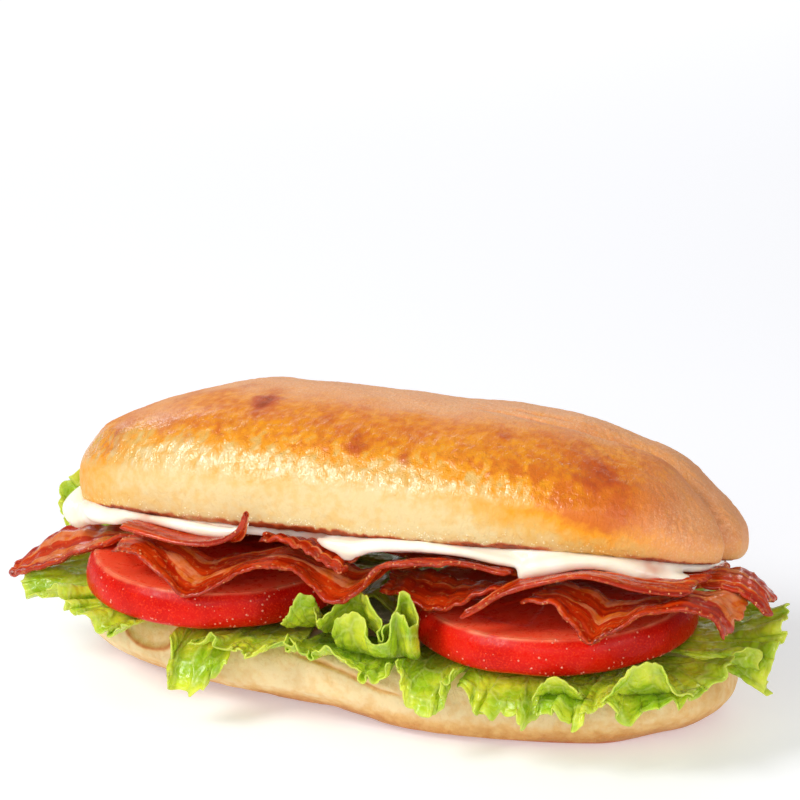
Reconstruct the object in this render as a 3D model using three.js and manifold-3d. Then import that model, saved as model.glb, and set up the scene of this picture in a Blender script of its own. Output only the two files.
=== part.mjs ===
// A BLT sandwich on a long soft roll: a flat lower half, ruffled lettuce, two thick tomato slices, wavy
// strips of fried bacon, a spread of mayonnaise, and a domed upper half that tips back over the filling.
// Millimetres, +Z up, +X along the roll. The origin is the middle of the flat base that the sandwich
// rests on, and the open, well filled long side faces -Y.

import * as THREE from "three";
import Module from "manifold-3d";

const wasm = await Module();
wasm.setup();

// ---------------------------------------------------------------- driving dimensions

const HEEL = {
  halfLength: 91,
  halfWidth: 40,
  squareness: 2.35,
  height: 20.5,
  // how far the foot of the front side is drawn in: along the left, and towards the right end
  tuck: {
    height: 10,
    left: { by: 9.8, from: -94, full: -76, fade: -18, until: 14 },
    right: { by: 5, from: 60, full: 82 },
  },
  segments: 48,
};
const CROWN = {
  halfLength: 92.5,
  halfWidth: 40,
  squareness: 2.7,
  height: 35,
  baseZ: 45.3, // height of the cut face above the base, at the middle of the roll
  riseToFront: 0.26, // slope of the cut face: it opens towards -Y
  riseToRight: 0.027,
  endDroop: 2.2, // how far the two ends of the cut face sag
  arch: { x: 58, width: 30, height: 1.6 }, // where the cut face lifts over the bacon
  rightFall: 0.33, // how much lower the dome is at its right end
  swells: [
    { x: -42, width: 36, height: 1.6 }, // where the dome stands higher along its length
    { x: 73, width: 10, height: 2.4 },
  ],
  rightTaper: 0.14, // how fast the right end slopes in with height
  segments: 58,
};
// The fold where the dough was rolled up. Its line swings towards the back around one place.
const SEAM = {
  startX: 12,
  y: -10.2,
  depth: 5.5,
  width: 3.8,
  swing: { x: 74, by: 7.8, before: 19, after: 15 },
};
const MAYO = { segments: 42, backThickness: 1.3, frontThickness: 3.2 };
const TOMATO = { thickness: 10, segments: 36 };
const BACON_THICKNESS = 1.9;
const LEAF_THICKNESS = 1.0;
const GAP = 0.3; // air left between pieces that touch

// ---------------------------------------------------------------- small helpers

const TAU = 2 * Math.PI;
const lerp = (a, b, t) => a + (b - a) * t;
const smooth = (t) => t * t * (3 - 2 * t);
const clamp = (x, low = 0, high = 1) => Math.min(high, Math.max(low, x));
const ramp = (low, high, t) => smooth(clamp((t - low) / (high - low)));

// A smooth irregular wave of t, between about -1 and 1. The seed picks another one.
function drift(t, seed) {
  return (
    0.5 * Math.sin(TAU * t + 1.7 * seed) +
    0.3 * Math.sin(TAU * 2.3 * t + 4.1 * seed + 1) +
    0.2 * Math.sin(TAU * 3.9 * t + 2.9 * seed + 2)
  );
}

// The plan outline of a half of the roll: a superellipse, taken in by inset on all sides.
function rollOutline({ halfLength, halfWidth, squareness }, angle, inset) {
  const c = Math.cos(angle);
  const s = Math.sin(angle);
  return [
    (halfLength - inset) * Math.sign(c) * Math.abs(c) ** (2 / squareness),
    (halfWidth - inset) * Math.sign(s) * Math.abs(s) ** (2 / squareness),
  ];
}

// The height of the crown's cut face over a point of the plan.
function cutFace(x, y) {
  const sag = CROWN.endDroop * Math.abs(x / CROWN.halfLength) ** 3;
  const { arch } = CROWN;
  const lift = arch.height * Math.exp(-(((x - arch.x) / arch.width) ** 2));
  return CROWN.baseZ - CROWN.riseToFront * y + CROWN.riseToRight * x - sag + lift;
}

// A closed geometry from rings of points, all with the same count, from the bottom centre to the top centre.
function ringSolid(bottom, rings, top) {
  const count = rings[0].length;
  const points = [bottom, ...rings.flat(), top];
  const faces = [];
  const at = (ring, i) => 1 + ring * count + (i % count);
  for (let i = 0; i < count; i++) {
    faces.push(0, at(0, i + 1), at(0, i));
    for (let ring = 0; ring < rings.length - 1; ring++) {
      const [a, b] = [at(ring, i), at(ring, i + 1)];
      const [c, d] = [at(ring + 1, i), at(ring + 1, i + 1)];
      faces.push(a, b, d, a, d, c);
    }
    faces.push(points.length - 1, at(rings.length - 1, i), at(rings.length - 1, i + 1));
  }
  return closedGeometry(points, faces);
}

function closedGeometry(points, faces) {
  const geometry = new THREE.BufferGeometry();
  geometry.setAttribute("position", new THREE.Float32BufferAttribute(points.flat(), 3));
  geometry.setIndex(faces);
  return geometry;
}

// A thin closed sheet around the surface(u, v), with both faces split into triangles alike. The margin
// grows it on its faces and past its edges.
function sheetSolid(surface, across, along, thickness, margin = 0) {
  const step = 1e-3;
  const faces = [[], []];
  for (let j = 0; j <= along; j++) {
    for (let i = 0; i <= across; i++) {
      const [u, v] = [i / across, j / along];
      const here = surface(u, v);
      const du = surface(Math.min(1, u + step), v).sub(surface(Math.max(0, u - step), v));
      const dv = surface(u, Math.min(1, v + step)).sub(surface(u, Math.max(0, v - step)));
      const normal = du.clone().cross(dv).normalize().multiplyScalar(thickness / 2 + margin);
      here.addScaledVector(du.normalize(), margin * ((i === across) - (i === 0)));
      here.addScaledVector(dv.normalize(), margin * ((j === along) - (j === 0)));
      faces[0].push(here.clone().add(normal).toArray());
      faces[1].push(here.clone().sub(normal).toArray());
    }
  }
  const points = faces.flat();
  const half = faces[0].length;
  const at = (i, j) => j * (across + 1) + i;
  const triangles = [];
  for (let j = 0; j < along; j++) {
    for (let i = 0; i < across; i++) {
      const [a, b, c, d] = [at(i, j), at(i + 1, j), at(i + 1, j + 1), at(i, j + 1)];
      triangles.push(a, b, c, a, c, d);
      triangles.push(half + a, half + c, half + b, half + a, half + d, half + c);
    }
  }
  const edge = [];
  for (let i = 0; i < across; i++) edge.push(at(i, 0));
  for (let j = 0; j < along; j++) edge.push(at(across, j));
  for (let i = across; i > 0; i--) edge.push(at(i, along));
  for (let j = along; j > 0; j--) edge.push(at(0, j));
  edge.forEach((a, k) => {
    const b = edge[(k + 1) % edge.length];
    triangles.push(a, half + a, half + b, a, half + b, b);
  });
  return closedGeometry(points, triangles);
}

// A smooth curve through [x, y, z] stations.
const curveThrough = (stations) =>
  new THREE.CatmullRomCurve3(stations.map((p) => new THREE.Vector3(...p)), false, "centripetal");

// ---------------------------------------------------------------- bread

// How much further in the heel's side lies near its foot, at a point of its plan outline.
function heelTuck(x, y, z) {
  const { height, left, right } = HEEL.tuck;
  const atLeft = left.by * ramp(left.from, left.full, x) * ramp(left.until, left.fade, x);
  const atRight = right.by * ramp(right.from, right.full, x);
  return (atLeft + atRight) * ramp(15, -15, y) * clamp(1 - z / height) ** 1.2;
}

// The lower half of the roll: a flat base, rounded pale sides and a flat cut top.
function heel() {
  const profile = [
    [8, 0],
    [3.4, 2.6],
    [0.6, 7.5],
    [0, 13],
    [1, 18],
    [3, HEEL.height],
  ];
  const rings = profile.map(([inset, z]) =>
    ringOf(HEEL.segments, (angle) => {
      const tuck = heelTuck(...rollOutline(HEEL, angle, inset), z);
      const [x, y] = rollOutline(HEEL, angle, inset + tuck);
      const swell = 1 + 0.012 * drift(angle / TAU, 3) * clamp(z / 5);
      return [x * swell + 0.5, y * swell, z];
    }),
  );
  return ringSolid([0, 0, 0], rings, [0, 0, HEEL.height]);
}

const ringOf = (segments, point) =>
  Array.from({ length: segments }, (_, i) => point((TAU * i) / segments));

// How deep the seam of the rolled dough cuts in at a point of the crown, before it is tipped.
function seamDepth(x, y) {
  const run = clamp((x - SEAM.startX) / (CROWN.halfLength - SEAM.startX));
  const { swing } = SEAM;
  const away = (x - swing.x) / (x < swing.x ? swing.before : swing.after);
  const across = (y - SEAM.y - swing.by * Math.exp(-away * away)) / SEAM.width;
  return SEAM.depth * run ** 1.2 * Math.exp(-across * across);
}

// The upper half of the roll: a tall dome over a flat cut face, tipped back over the filling.
function crown() {
  const profile = [
    [3.2, 0],
    [0.9, 1.6],
    [-0.6, 6],
    [-0.9, 11.5],
    [0.8, 17],
    [4.6, 22.5],
    [10.5, 27.5],
    [18.5, 31.4],
    [23.5, 33],
    [28, 34],
    [33, 34.7],
  ];
  const rings = profile.map(([inset, z]) =>
    ringOf(CROWN.segments, (angle) => {
      const [x, y] = rollOutline(CROWN, angle, inset);
      const lengthwise = 1 - 0.0085 * Math.max(0, inset - 4);
      const toRight = clamp(x / 85) ** 2;
      const shift = lerp(0.1, -CROWN.rightTaper, toRight) * z;
      return tipped(x * lengthwise + shift, y, z, angle);
    }),
  );
  return ringSolid([0, 0, cutFace(0, 0)], rings, tipped(3.5, 0, CROWN.height, 0));
}

// Tips a point of the crown back, with the seam pressed in and the dome slightly uneven.
function tipped(x, y, z, angle) {
  const share = clamp(z / CROWN.height);
  const groove = seamDepth(x, y);
  const inward = 1 - (groove / CROWN.halfLength) * clamp(1.4 - share);
  const lump = 1 + 0.012 * share * drift(angle / TAU + share, 5);
  const [px, py] = [x * inward * lump, y * lump];
  const fall = 1 - CROWN.rightFall * clamp((x - 14) / 66) ** 2;
  const swell = CROWN.swells.reduce((sum, s) => sum + s.height * Math.exp(-(((x - s.x) / s.width) ** 2)), 0);
  const rise = swell + 0.5 * drift(x / 90, 2);
  const height = z * fall - groove * share * 0.8 + rise * share;
  const lean = height * CROWN.riseToFront;
  return [px, py + lean * 0.9, cutFace(px, py) + height * 0.968];
}

// ---------------------------------------------------------------- tomato

const TOMATOES = {
  tomato_slice_left: { x: -50.8, y: -11, z: 25.6, radius: 36, toFront: 0.02, toRight: 0, seed: 1 },
  tomato_slice_right: { x: 44.5, y: -9.5, z: 25.4, radius: 38, toFront: 0.02, toRight: 0.045, seed: 4 },
};

// A thick slice with a bulging skin edge, grown by the given margin on all sides.
function tomatoSlice({ x, y, z, radius, toFront, toRight, seed }, margin = 0) {
  const profile = [
    [-2.2, 0],
    [-0.5, 1.2],
    [0, 3.6],
    [-0.8, 7.4],
    [-2.6, TOMATO.thickness],
  ];
  const place = (px, py, pz) => [
    x + px,
    y + py,
    z + pz - toFront * py + toRight * px + (pz > TOMATO.thickness / 2 ? margin : -margin),
  ];
  const rings = profile.map(([out, height]) =>
    ringOf(TOMATO.segments, (angle) => {
      const r = (radius + out + margin) * (1 + 0.012 * drift(angle / TAU, seed));
      return place(r * Math.cos(angle), r * Math.sin(angle), height);
    }),
  );
  return ringSolid(place(0, 0, 0), rings, place(0, 0, TOMATO.thickness));
}

// ---------------------------------------------------------------- bacon

// Each strip has the crests and troughs of its outer edge, as [x, y, z]. Its inner edge is given too, or
// runs the strip's width behind, slid along, with the waves flattened towards the level that it lies on.
const BACON = {
  bacon_wave_front: {
    edge: [
      [-69, -41, 43.5],
      [-61, -44, 45],
      [-54, -46.5, 41.5],
      [-46, -48.5, 36.6],
      [-40, -47.5, 39],
      [-32, -46, 44],
      [-25, -45, 47],
      [-17, -44, 45.5],
      [-11, -44.5, 42],
      [-5, -46, 39],
      [1, -45.5, 43],
      [6, -44.5, 49],
      [12, -43.5, 51.5],
      [22, -43, 52.5],
      [32, -42.5, 53],
      [41, -42, 51.5],
    ],
    width: 18,
    slide: 2,
    level: 44.2,
    keep: 0.32,
    steps: 40,
  },
  bacon_left_end: {
    edge: [
      [-64, -23, 42],
      [-73, -23.5, 41],
      [-80, -23.5, 37.6],
      [-88, -23, 33.6],
      [-95, -22, 29.8],
      [-101, -21, 26.6],
      [-106, -20, 24.3],
      [-110, -17.5, 22.8],
    ],
    inner: [
      [-64, -8, 38.5],
      [-74, -8, 38],
      [-83, -8, 37.2],
      [-90, -8, 36.4],
      [-97, -8, 34.4],
      [-103, -8, 30.6],
      [-108, -9, 26],
      [-112.5, -11, 22.4],
    ],
    crease: -1.2,
    steps: 14,
  },
  bacon_left_upper: {
    edge: [
      [-66, -41, 50.6],
      [-58, -43, 50.3],
      [-49, -44.3, 49.8],
      [-41, -45, 50.6],
      [-35, -45.6, 53],
      [-30.5, -46.4, 57],
      [-28.5, -46.6, 61.5],
    ],
    width: 15,
    slide: 0,
    level: 48.4,
    keep: 0.1,
    pinchEnd: 0.86,
    steps: 14,
  },
  bacon_middle_upper: {
    edge: [
      [-27, -41.5, 52.6],
      [-20, -42.6, 53.4],
      [-14, -42.8, 51.8],
      [-9, -42.5, 49],
      [-4, -42.2, 46.8],
    ],
    width: 12,
    slide: 2,
    level: 49.4,
    keep: 0.25,
    steps: 12,
  },
  bacon_middle_lower: {
    edge: [
      [4, -36, 40],
      [10, -38, 40.6],
      [16, -40, 39.6],
      [23, -42, 40],
      [29, -42.6, 42.6],
      [35, -42, 46],
      [40, -41, 47.6],
    ],
    width: 18,
    slide: 0,
    level: 41.4,
    keep: 0.15,
    steps: 14,
  },
  bacon_right_upper: {
    edge: [
      [31, -47.4, 41.4],
      [35, -47.2, 44],
      [40, -46.8, 47.6],
      [46, -46, 50.4],
      [52, -45, 52.4],
      [59, -44, 54.4],
      [65, -43.4, 54.4],
      [72, -42, 52.6],
      [79, -40, 51.2],
      [87, -36, 50],
    ],
    width: 17,
    slide: 2,
    level: 49.3,
    keep: 0.2,
    pinchStart: 0.85,
    steps: 24,
  },
  bacon_right_wave: {
    edge: [
      [46, -43.5, 45],
      [50, -45, 47],
      [55, -45.5, 46.4],
      [60, -46, 42.4],
      [65, -46.6, 38.6],
      [70, -46, 42],
      [76, -44.6, 45.8],
      [83, -41, 47.4],
      [89, -37, 46.6],
      [93.5, -33.5, 42.5],
      [96, -31, 37],
    ],
    width: 18,
    slide: 2,
    level: 44.6,
    keep: 0.35,
    steps: 28,
  },
  bacon_right_end: {
    edge: [
      [72, -20, 44.6],
      [82, -20, 45.4],
      [90, -20, 46],
      [96.5, -19.5, 45.6],
      [100.5, -19, 43],
      [104, -18, 39],
    ],
    width: 15,
    slide: -2,
    level: 45.4,
    keep: 0.95,
    crease: 1,
    steps: 12,
  },
  bacon_inner: {
    edge: [
      [-84, -7, 38.6],
      [-68, -8, 40.6],
      [-52, -9, 38.4],
      [-36, -9, 41.2],
      [-20, -9, 38.2],
      [-4, -9, 40.4],
      [12, -9, 38.2],
      [28, -9, 41.4],
      [44, -9, 38.8],
      [60, -8, 41.6],
      [74, -7, 39.4],
    ],
    width: 17,
    slide: 3,
    level: 38.7,
    keep: 0.3,
    steps: 26,
    folds: 2,
  },
  bacon_back_left: {
    edge: [
      [-72, 37, 29.6],
      [-61, 41, 32],
      [-49, 43, 28.6],
      [-37, 43, 32],
      [-25, 43, 28.6],
      [-13, 42, 31.6],
      [-2, 41, 29],
    ],
    width: -12,
    slide: 0,
    level: 31,
    keep: 0.4,
    steps: 18,
    folds: 2,
  },
  bacon_back_right: {
    edge: [
      [10, 41, 29.4],
      [22, 42.6, 32.6],
      [34, 43.4, 29.2],
      [46, 43.4, 32.8],
      [58, 42.4, 29.8],
      [70, 39.4, 33.4],
      [81, 34, 31.4],
    ],
    width: -10,
    slide: 0,
    level: 31.6,
    keep: 0.4,
    steps: 18,
    folds: 2,
  },
};

// The middle surface of a strip. u runs along it, v from its outer to its inner edge.
function baconSurface(strip) {
  const { edge, inner, width, slide, level, keep, crease = 0, pinchStart = 0, pinchEnd = 0 } = strip;
  const outerRail = curveThrough(edge);
  const innerRail = inner && curveThrough(inner);
  const innerPoint = (u, p) => {
    if (innerRail) return innerRail.getPoint(u);
    const pinch = pinchStart * smooth(clamp(1 - u / 0.45)) + pinchEnd * smooth(clamp((u - 0.45) / 0.55));
    const z = lerp(level, p.z, lerp(keep, 1, pinch));
    return new THREE.Vector3(p.x + slide, p.y + width * (1 - pinch), z);
  };
  return (u, v) => {
    const p = outerRail.getPoint(u);
    const z = lerp(p.z, innerPoint(u, p).z, smooth(v));
    const buckle = crease * 4 * v * (1 - v) + 0.35 * Math.sin(TAU * (7 * u + 0.4 * v));
    return p.lerp(innerPoint(u, p), v).setZ(z + buckle);
  };
}

const baconStrip = (strip, margin = 0) =>
  sheetSolid(baconSurface(strip), strip.steps, strip.folds ?? 3, BACON_THICKNESS, margin);

// ---------------------------------------------------------------- mayonnaise

// Along the front edge of the spread, as [x, how far it sags, how far it is squeezed out past the rim].
const MAYO_EDGE = [
  [-96, 5, 5.5],
  [-88, 7, 5],
  [-80, 5.5, 4],
  [-72, 4.4, 3],
  [-55, 4, 2.4],
  [-38, 3.4, 2.4],
  [-30, 1.6, 0.6],
  [-14, 1.6, 0.6],
  [-7, 3.8, 2.4],
  [0, 4.3, 3],
  [14, 3.4, 2.8],
  [28, 3.4, 3],
  [39, 3.6, 3.2],
  [45, 5.4, 4.2],
  [51, 2.8, 3],
  [68, 3.3, 3],
  [78, 4.6, 3.6],
  [87, 7.2, 4.6],
  [95, 3, 2],
];

function mayoEdge(x) {
  const next = MAYO_EDGE.findIndex(([at]) => at > x);
  if (next <= 0) return MAYO_EDGE.at(next).slice(1);
  const [from, to] = [MAYO_EDGE[next - 1], MAYO_EDGE[next]];
  const t = smooth((x - from[0]) / (to[0] - from[0]));
  return [lerp(from[1], to[1], t), lerp(from[2], to[2], t)];
}

// The spread under the crown. Its front edge is squeezed out past the rim in lobes.
function mayo(margin = 0) {
  const layer = (share, level) =>
    ringOf(MAYO.segments, (angle) => {
      const [rimX] = rollOutline(CROWN, angle, 4);
      const front = smooth(clamp(0.45 - Math.sin(angle) * 1.3));
      const [sag, out] = mayoEdge(rimX);
      const [x, y] = rollOutline(CROWN, angle, 4 - lerp(-2.2, out, front) * share ** 4);
      const [px, py] = [x * share, y * share];
      const toFront = clamp(0.5 - py / (2 * CROWN.halfWidth));
      const hang = Math.max(0, sag - MAYO.frontThickness) * share ** 6 * front;
      const thick = lerp(MAYO.backThickness, MAYO.frontThickness, toFront) + hang + margin;
      const under = cutFace(px, py) - GAP;
      return [px, py, lerp(under - thick, under + margin, level)];
    });
  const rings = [
    layer(0.75, 0),
    layer(0.965, 0),
    layer(1, 0.35),
    layer(0.99, 0.95),
    layer(0.5, 1),
  ];
  const middle = cutFace(0, 0) - GAP;
  return ringSolid([0, 0, middle - 2.2 - margin], rings, [0, 0, middle + margin]);
}

// ---------------------------------------------------------------- lettuce

// Each leaf has stations along its margin: [root x, root y, margin x, margin y, margin z]. From its root
// on the heel it runs over a bend, given as its share of the way out and its height, to its margin.
const LETTUCE = {
  lettuce_left_end: {
    stations: [
      [-60, 1, -100, -2, 28],
      [-60, -3, -106, -11, 24],
      [-60, -7, -107, -20, 21],
      [-59, -11, -99, -27, 21.5],
      [-58, -14, -90.5, -31.5, 24.5],
      [-57, -17, -86, -34.5, 22.6],
      [-56, -19, -78, -38.5, 23.4],
      [-55, -20, -70, -42, 22.6],
      [-54, -21, -60, -45.5, 24.6],
    ],
    bend: [0.62, 24.6],
    waves: 3.5,
    ruffle: 1.6,
    seed: 1,
    size: [22, 4],
  },
  lettuce_left_front: {
    stations: [
      [-51, -24, -51.5, -46.5, 23],
      [-49, -25, -50.5, -48.5, 19.5],
      [-47, -25, -50.5, -50, 14.5],
      [-45, -25, -48.5, -50.5, 10.8],
      [-43, -25, -44, -50.5, 10.2],
      [-41, -25, -40, -50, 11.5],
      [-39, -25, -37.5, -49, 14.5],
      [-37, -24, -34.5, -47.5, 19],
    ],
    bend: [0.86, 23.2],
    waves: 1.4,
    ruffle: 1.1,
    seed: 2,
    size: [16, 5],
  },
  lettuce_left_fold: {
    stations: [
      [-35, -24, -44, -50.5, 25.2],
      [-33, -25, -37, -50, 23],
      [-30, -25, -31, -49.5, 21.8],
      [-26, -25, -25.5, -49, 20.4],
      [-22, -25, -21, -48.5, 23.5],
      [-18, -24, -15, -47, 26.8],
    ],
    bend: [0.84, 23.6],
    waves: 2.2,
    ruffle: 1.3,
    seed: 12,
    size: [16, 4],
  },
  lettuce_middle_upper: {
    stations: [
      [-14, -21, -20, -44, 31],
      [-12.5, -21, -16.5, -47, 36],
      [-11, -21, -13.5, -47, 41.2],
      [-9.5, -21, -11, -44, 40],
      [-8, -21, -10.5, -43, 35],
      [-7, -21, -8.5, -47.5, 33],
      [-5, -21, -6, -44, 38],
      [-3, -21, -1, -42.5, 42.6],
      [-1, -21, 4, -45, 42],
      [1, -21, 7.5, -48, 37.5],
      [2, -21, 9.5, -49, 32.5],
      [3, -21, 11.5, -46, 39],
      [4, -21, 13.5, -43.5, 44.2],
      [5, -21, 18, -45.5, 39.5],
      [6, -21, 17.5, -48, 34.5],
    ],
    rootZ: 24.4,
    bend: [0.78, 27],
    waves: 4,
    ruffle: 0.5,
    seed: 3,
    size: [32, 4],
  },
  lettuce_middle_lower: {
    stations: [
      [-14, -26, -19, -46.5, 28.5],
      [-12, -26, -15, -49.5, 25.6],
      [-8, -26, -10, -50, 23.6],
      [-5, -26, -7.5, -51, 27],
      [-2, -26, -3.5, -51, 28.5],
      [1, -26, 0, -51, 26.5],
      [3, -26, 3, -50.5, 21.5],
      [5, -26, 6, -50, 20],
      [8, -26, 9, -49, 22],
      [10, -26, 12.5, -47.5, 23],
    ],
    bend: [0.8, 22.6],
    waves: 2.4,
    ruffle: 1,
    seed: 4,
    size: [20, 4],
  },
  lettuce_middle_right: {
    stations: [
      [14, -26, 13.5, -46.5, 27],
      [16, -26, 14.5, -49.5, 22.5],
      [18.5, -26, 16.5, -51, 17],
      [21.5, -26, 20, -51.5, 14.4],
      [25, -26, 24.5, -51, 14.3],
      [27, -26, 27, -50.5, 17.5],
      [29, -26, 28.5, -49.5, 22],
      [31, -26, 30, -47.5, 26.4],
    ],
    bend: [0.86, 24.6],
    waves: 1.4,
    ruffle: 0.8,
    seed: 5,
    size: [16, 5],
  },
  lettuce_right_front: {
    stations: [
      [31, -27, 30, -47.5, 21.5],
      [36.5, -27, 36, -49.5, 16.8],
      [41, -27, 40.5, -50, 16],
      [45, -27, 45, -50, 17.2],
      [48.5, -27, 48, -50, 14.2],
      [52.5, -27, 52.5, -50, 18],
      [56.5, -27, 57, -50, 19],
      [60.5, -27, 61, -50, 16],
      [63.5, -27, 64.5, -49.5, 16.6],
    ],
    bend: [0.86, 24.8],
    waves: 3.2,
    ruffle: 2.1,
    seed: 6,
    size: [24, 4],
  },
  lettuce_right_corner: {
    stations: [
      [65, -25, 66.5, -49, 19.5],
      [66.5, -24, 70, -48.5, 21.4],
      [67.5, -23, 74.5, -47.5, 18.4],
      [68.5, -21, 79, -45, 20],
      [69.5, -19, 84, -41, 20],
      [70, -17, 89.5, -35.5, 21.2],
      [70, -15, 94, -29, 23],
      [70, -13, 97, -23, 25],
    ],
    bend: [0.8, 25],
    waves: 2.8,
    ruffle: 2.2,
    seed: 7,
    size: [22, 4],
  },
  lettuce_right_end: {
    stations: [
      [62, 12, 91, 12, 28.5],
      [62, 9, 97, 8, 31],
      [62, 6, 103, 3, 33.5],
      [62, 3, 106.5, -2, 36],
      [62, 0, 107, -8, 35],
      [62, -3, 106.8, -12.5, 29.5],
      [62, -5, 106, -17, 23.5],
      [62, -6.5, 105, -19, 17.6],
      [62, -8, 103.6, -19.2, 22.6],
      [62, -9, 101, -20.5, 26.4],
      [62, -10, 96.5, -22, 27.4],
    ],
    bend: [0.66, 26],
    waves: 2.2,
    ruffle: 1.2,
    seed: 8,
    size: [22, 5],
  },
  lettuce_left_back: {
    stations: [
      [-60, 7, -102, 4, 28.5],
      [-60, 10, -107.5, 9, 31.5],
      [-60, 13, -107.5, 13, 37.5],
      [-60, 16, -104.5, 17.5, 42],
      [-58, 19, -99, 24, 39],
      [-56, 22, -92, 30.5, 32],
      [-54, 25, -84, 36, 26],
    ],
    bend: [0.68, 24.5],
    waves: 2.4,
    ruffle: 1.3,
    seed: 9,
    size: [20, 5],
  },
  lettuce_back_left: {
    stations: [
      [-72, 24, -81, 42.5, 23],
      [-64, 25, -70, 46, 20],
      [-54, 25, -58, 48.5, 18],
      [-44, 25, -46, 48.5, 21.5],
      [-33, 25, -33, 49.5, 16.5],
      [-21, 25, -20, 49, 18.5],
      [-9, 25, -8, 47.5, 21.5],
    ],
    bend: [0.8, 23.8],
    waves: 4.6,
    ruffle: 1.9,
    seed: 10,
    size: [24, 4],
  },
  lettuce_back_right: {
    stations: [
      [-4, 25, -4, 47.5, 21.5],
      [10, 25, 10, 49.5, 17.5],
      [24, 25, 24, 49, 21],
      [38, 25, 39, 49.5, 16],
      [52, 25, 54, 48, 19],
      [63, 24, 68, 45.5, 21.5],
      [72, 22, 81, 40, 23],
    ],
    bend: [0.8, 23.8],
    waves: 4.8,
    ruffle: 1.9,
    seed: 11,
    size: [24, 4],
  },
};
const LEAF_ROOT_Z = 22.2;

// The middle surface of a leaf. u runs along its margin, v from its root to its margin. Towards the margin it
// swells into folds of uneven size that lean along the leaf, and the margin itself is scalloped.
function leafSurface({ stations, rootZ = LEAF_ROOT_Z, bend, waves, ruffle, seed }) {
  const root = curveThrough(stations.map(([x, y]) => [x, y, rootZ]));
  const margin = curveThrough(stations.map(([, , x, y, z]) => [x, y, z]));
  return (u, v) => {
    const [a, c] = [root.getPoint(u), margin.getPoint(u)];
    const b = a.clone().lerp(c, bend[0]).setZ(bend[1]);
    const p = a.multiplyScalar((1 - v) ** 2).addScaledVector(b, 2 * v * (1 - v));
    p.addScaledVector(c, v * v);
    const along = margin.getTangent(u);
    const out = c.clone().sub(b).normalize();
    const face = along.clone().cross(out).normalize();
    const phase = TAU * (waves * u + 0.3 * drift(u, seed) + 0.18 * v);
    const size = ruffle * v ** 1.6 * (1 + 0.5 * drift(1.3 * u, seed + 3));
    p.addScaledVector(face, size * Math.sin(phase));
    p.addScaledVector(along, -0.3 * size * Math.sin(2 * phase));
    return p.addScaledVector(out, 0.4 * ruffle * v ** 3 * Math.sin(2.6 * phase + seed));
  };
}

const leaf = (shape, margin = 0) =>
  sheetSolid(leafSurface(shape), ...shape.size, LEAF_THICKNESS, margin);

// A loose leaf laid flat under the tomato slices, which rises in the gap between them.
const BED = { left: -54, right: 56, front: -18, back: 20, rise: 8, riseX: -4, riseWidth: 7 };

function lettuceBed(margin = 0) {
  const surface = (u, v) => {
    const x = lerp(BED.left, BED.right, u);
    const ripple = 0.45 * Math.sin(TAU * (4 * u + 0.5 * v)) * Math.sin(Math.PI * v);
    const rise = BED.rise * Math.exp(-(((x - BED.riseX) / BED.riseWidth) ** 2));
    return new THREE.Vector3(x, lerp(BED.front, BED.back, v), LEAF_ROOT_Z + ripple + rise);
  };
  return sheetSolid(surface, 20, 3, LEAF_THICKNESS, margin);
}

// ---------------------------------------------------------------- fitting the pieces together

function toSolid(geometry) {
  return new wasm.Manifold(
    new wasm.Mesh({
      numProp: 3,
      vertProperties: geometry.attributes.position.array,
      triVerts: new Uint32Array(geometry.index.array),
    }),
  );
}

// The largest body of a solid after its neighbours, each grown by the gap, have been taken out of it.
function fitted(solid, neighbours, tolerance = 0.05) {
  const box = solid.boundingBox();
  const near = neighbours.filter(({ bounds }) =>
    [0, 1, 2].every((i) => bounds.min[i] < box.max[i] && bounds.max[i] > box.min[i]),
  );
  const cut = near.reduce((rest, { cutter }) => rest.subtract(cutter), solid);
  const bodies = cut.decompose().sort((a, b) => b.volume() - a.volume());
  return bodies[0].simplify(tolerance);
}

function toGeometry(solid) {
  const mesh = solid.getMesh();
  const geometry = new THREE.BufferGeometry();
  const points = new Float32Array(mesh.numVert * 3);
  for (let i = 0; i < mesh.numVert; i++) {
    for (let k = 0; k < 3; k++) points[3 * i + k] = mesh.vertProperties[i * mesh.numProp + k];
  }
  geometry.setAttribute("position", new THREE.BufferAttribute(points, 3));
  geometry.setIndex(Array.from(mesh.triVerts));
  geometry.computeVertexNormals();
  return geometry;
}

// ---------------------------------------------------------------- assembly

const FINISH = {
  crust: { color: 0xd9a052, roughness: 0.45, metalness: 0 },
  pale_crust: { color: 0xe3c591, roughness: 0.7, metalness: 0 },
  lettuce: { color: 0x9cc42c, roughness: 0.4, metalness: 0 },
  tomato: { color: 0xd42a18, roughness: 0.25, metalness: 0 },
  bacon: { color: 0x9c3018, roughness: 0.35, metalness: 0 },
  mayonnaise: { color: 0xf6f0dc, roughness: 0.3, metalness: 0 },
};

const sandwich = new THREE.Group();
sandwich.name = "blt_sandwich";
const cutters = [];

function addPiece(name, finish, geometry, grown, neighbours = cutters, tolerance) {
  const solid = fitted(toSolid(geometry), neighbours, tolerance);
  const mesh = new THREE.Mesh(toGeometry(solid), new THREE.MeshStandardMaterial(FINISH[finish]));
  mesh.name = name;
  sandwich.add(mesh);
  const cutter = toSolid(grown);
  cutters.push({ name, cutter, bounds: cutter.boundingBox() });
}

addPiece("bread_heel", "pale_crust", heel(), heel(), []);
addPiece("bread_crown", "crust", crown(), crown(), []);
for (const [name, slice] of Object.entries(TOMATOES)) {
  addPiece(name, "tomato", tomatoSlice(slice), tomatoSlice(slice, GAP), []);
}
for (const [name, strip] of Object.entries(BACON)) {
  addPiece(name, "bacon", baconStrip(strip), baconStrip(strip, GAP));
}
addPiece("mayonnaise", "mayonnaise", mayo(), mayo(GAP), cutters, 0.1);
addPiece("lettuce_bed", "lettuce", lettuceBed(), lettuceBed(GAP));
for (const [name, shape] of Object.entries(LETTUCE)) {
  addPiece(name, "lettuce", leaf(shape), leaf(shape, GAP));
}

export default sandwich;
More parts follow.
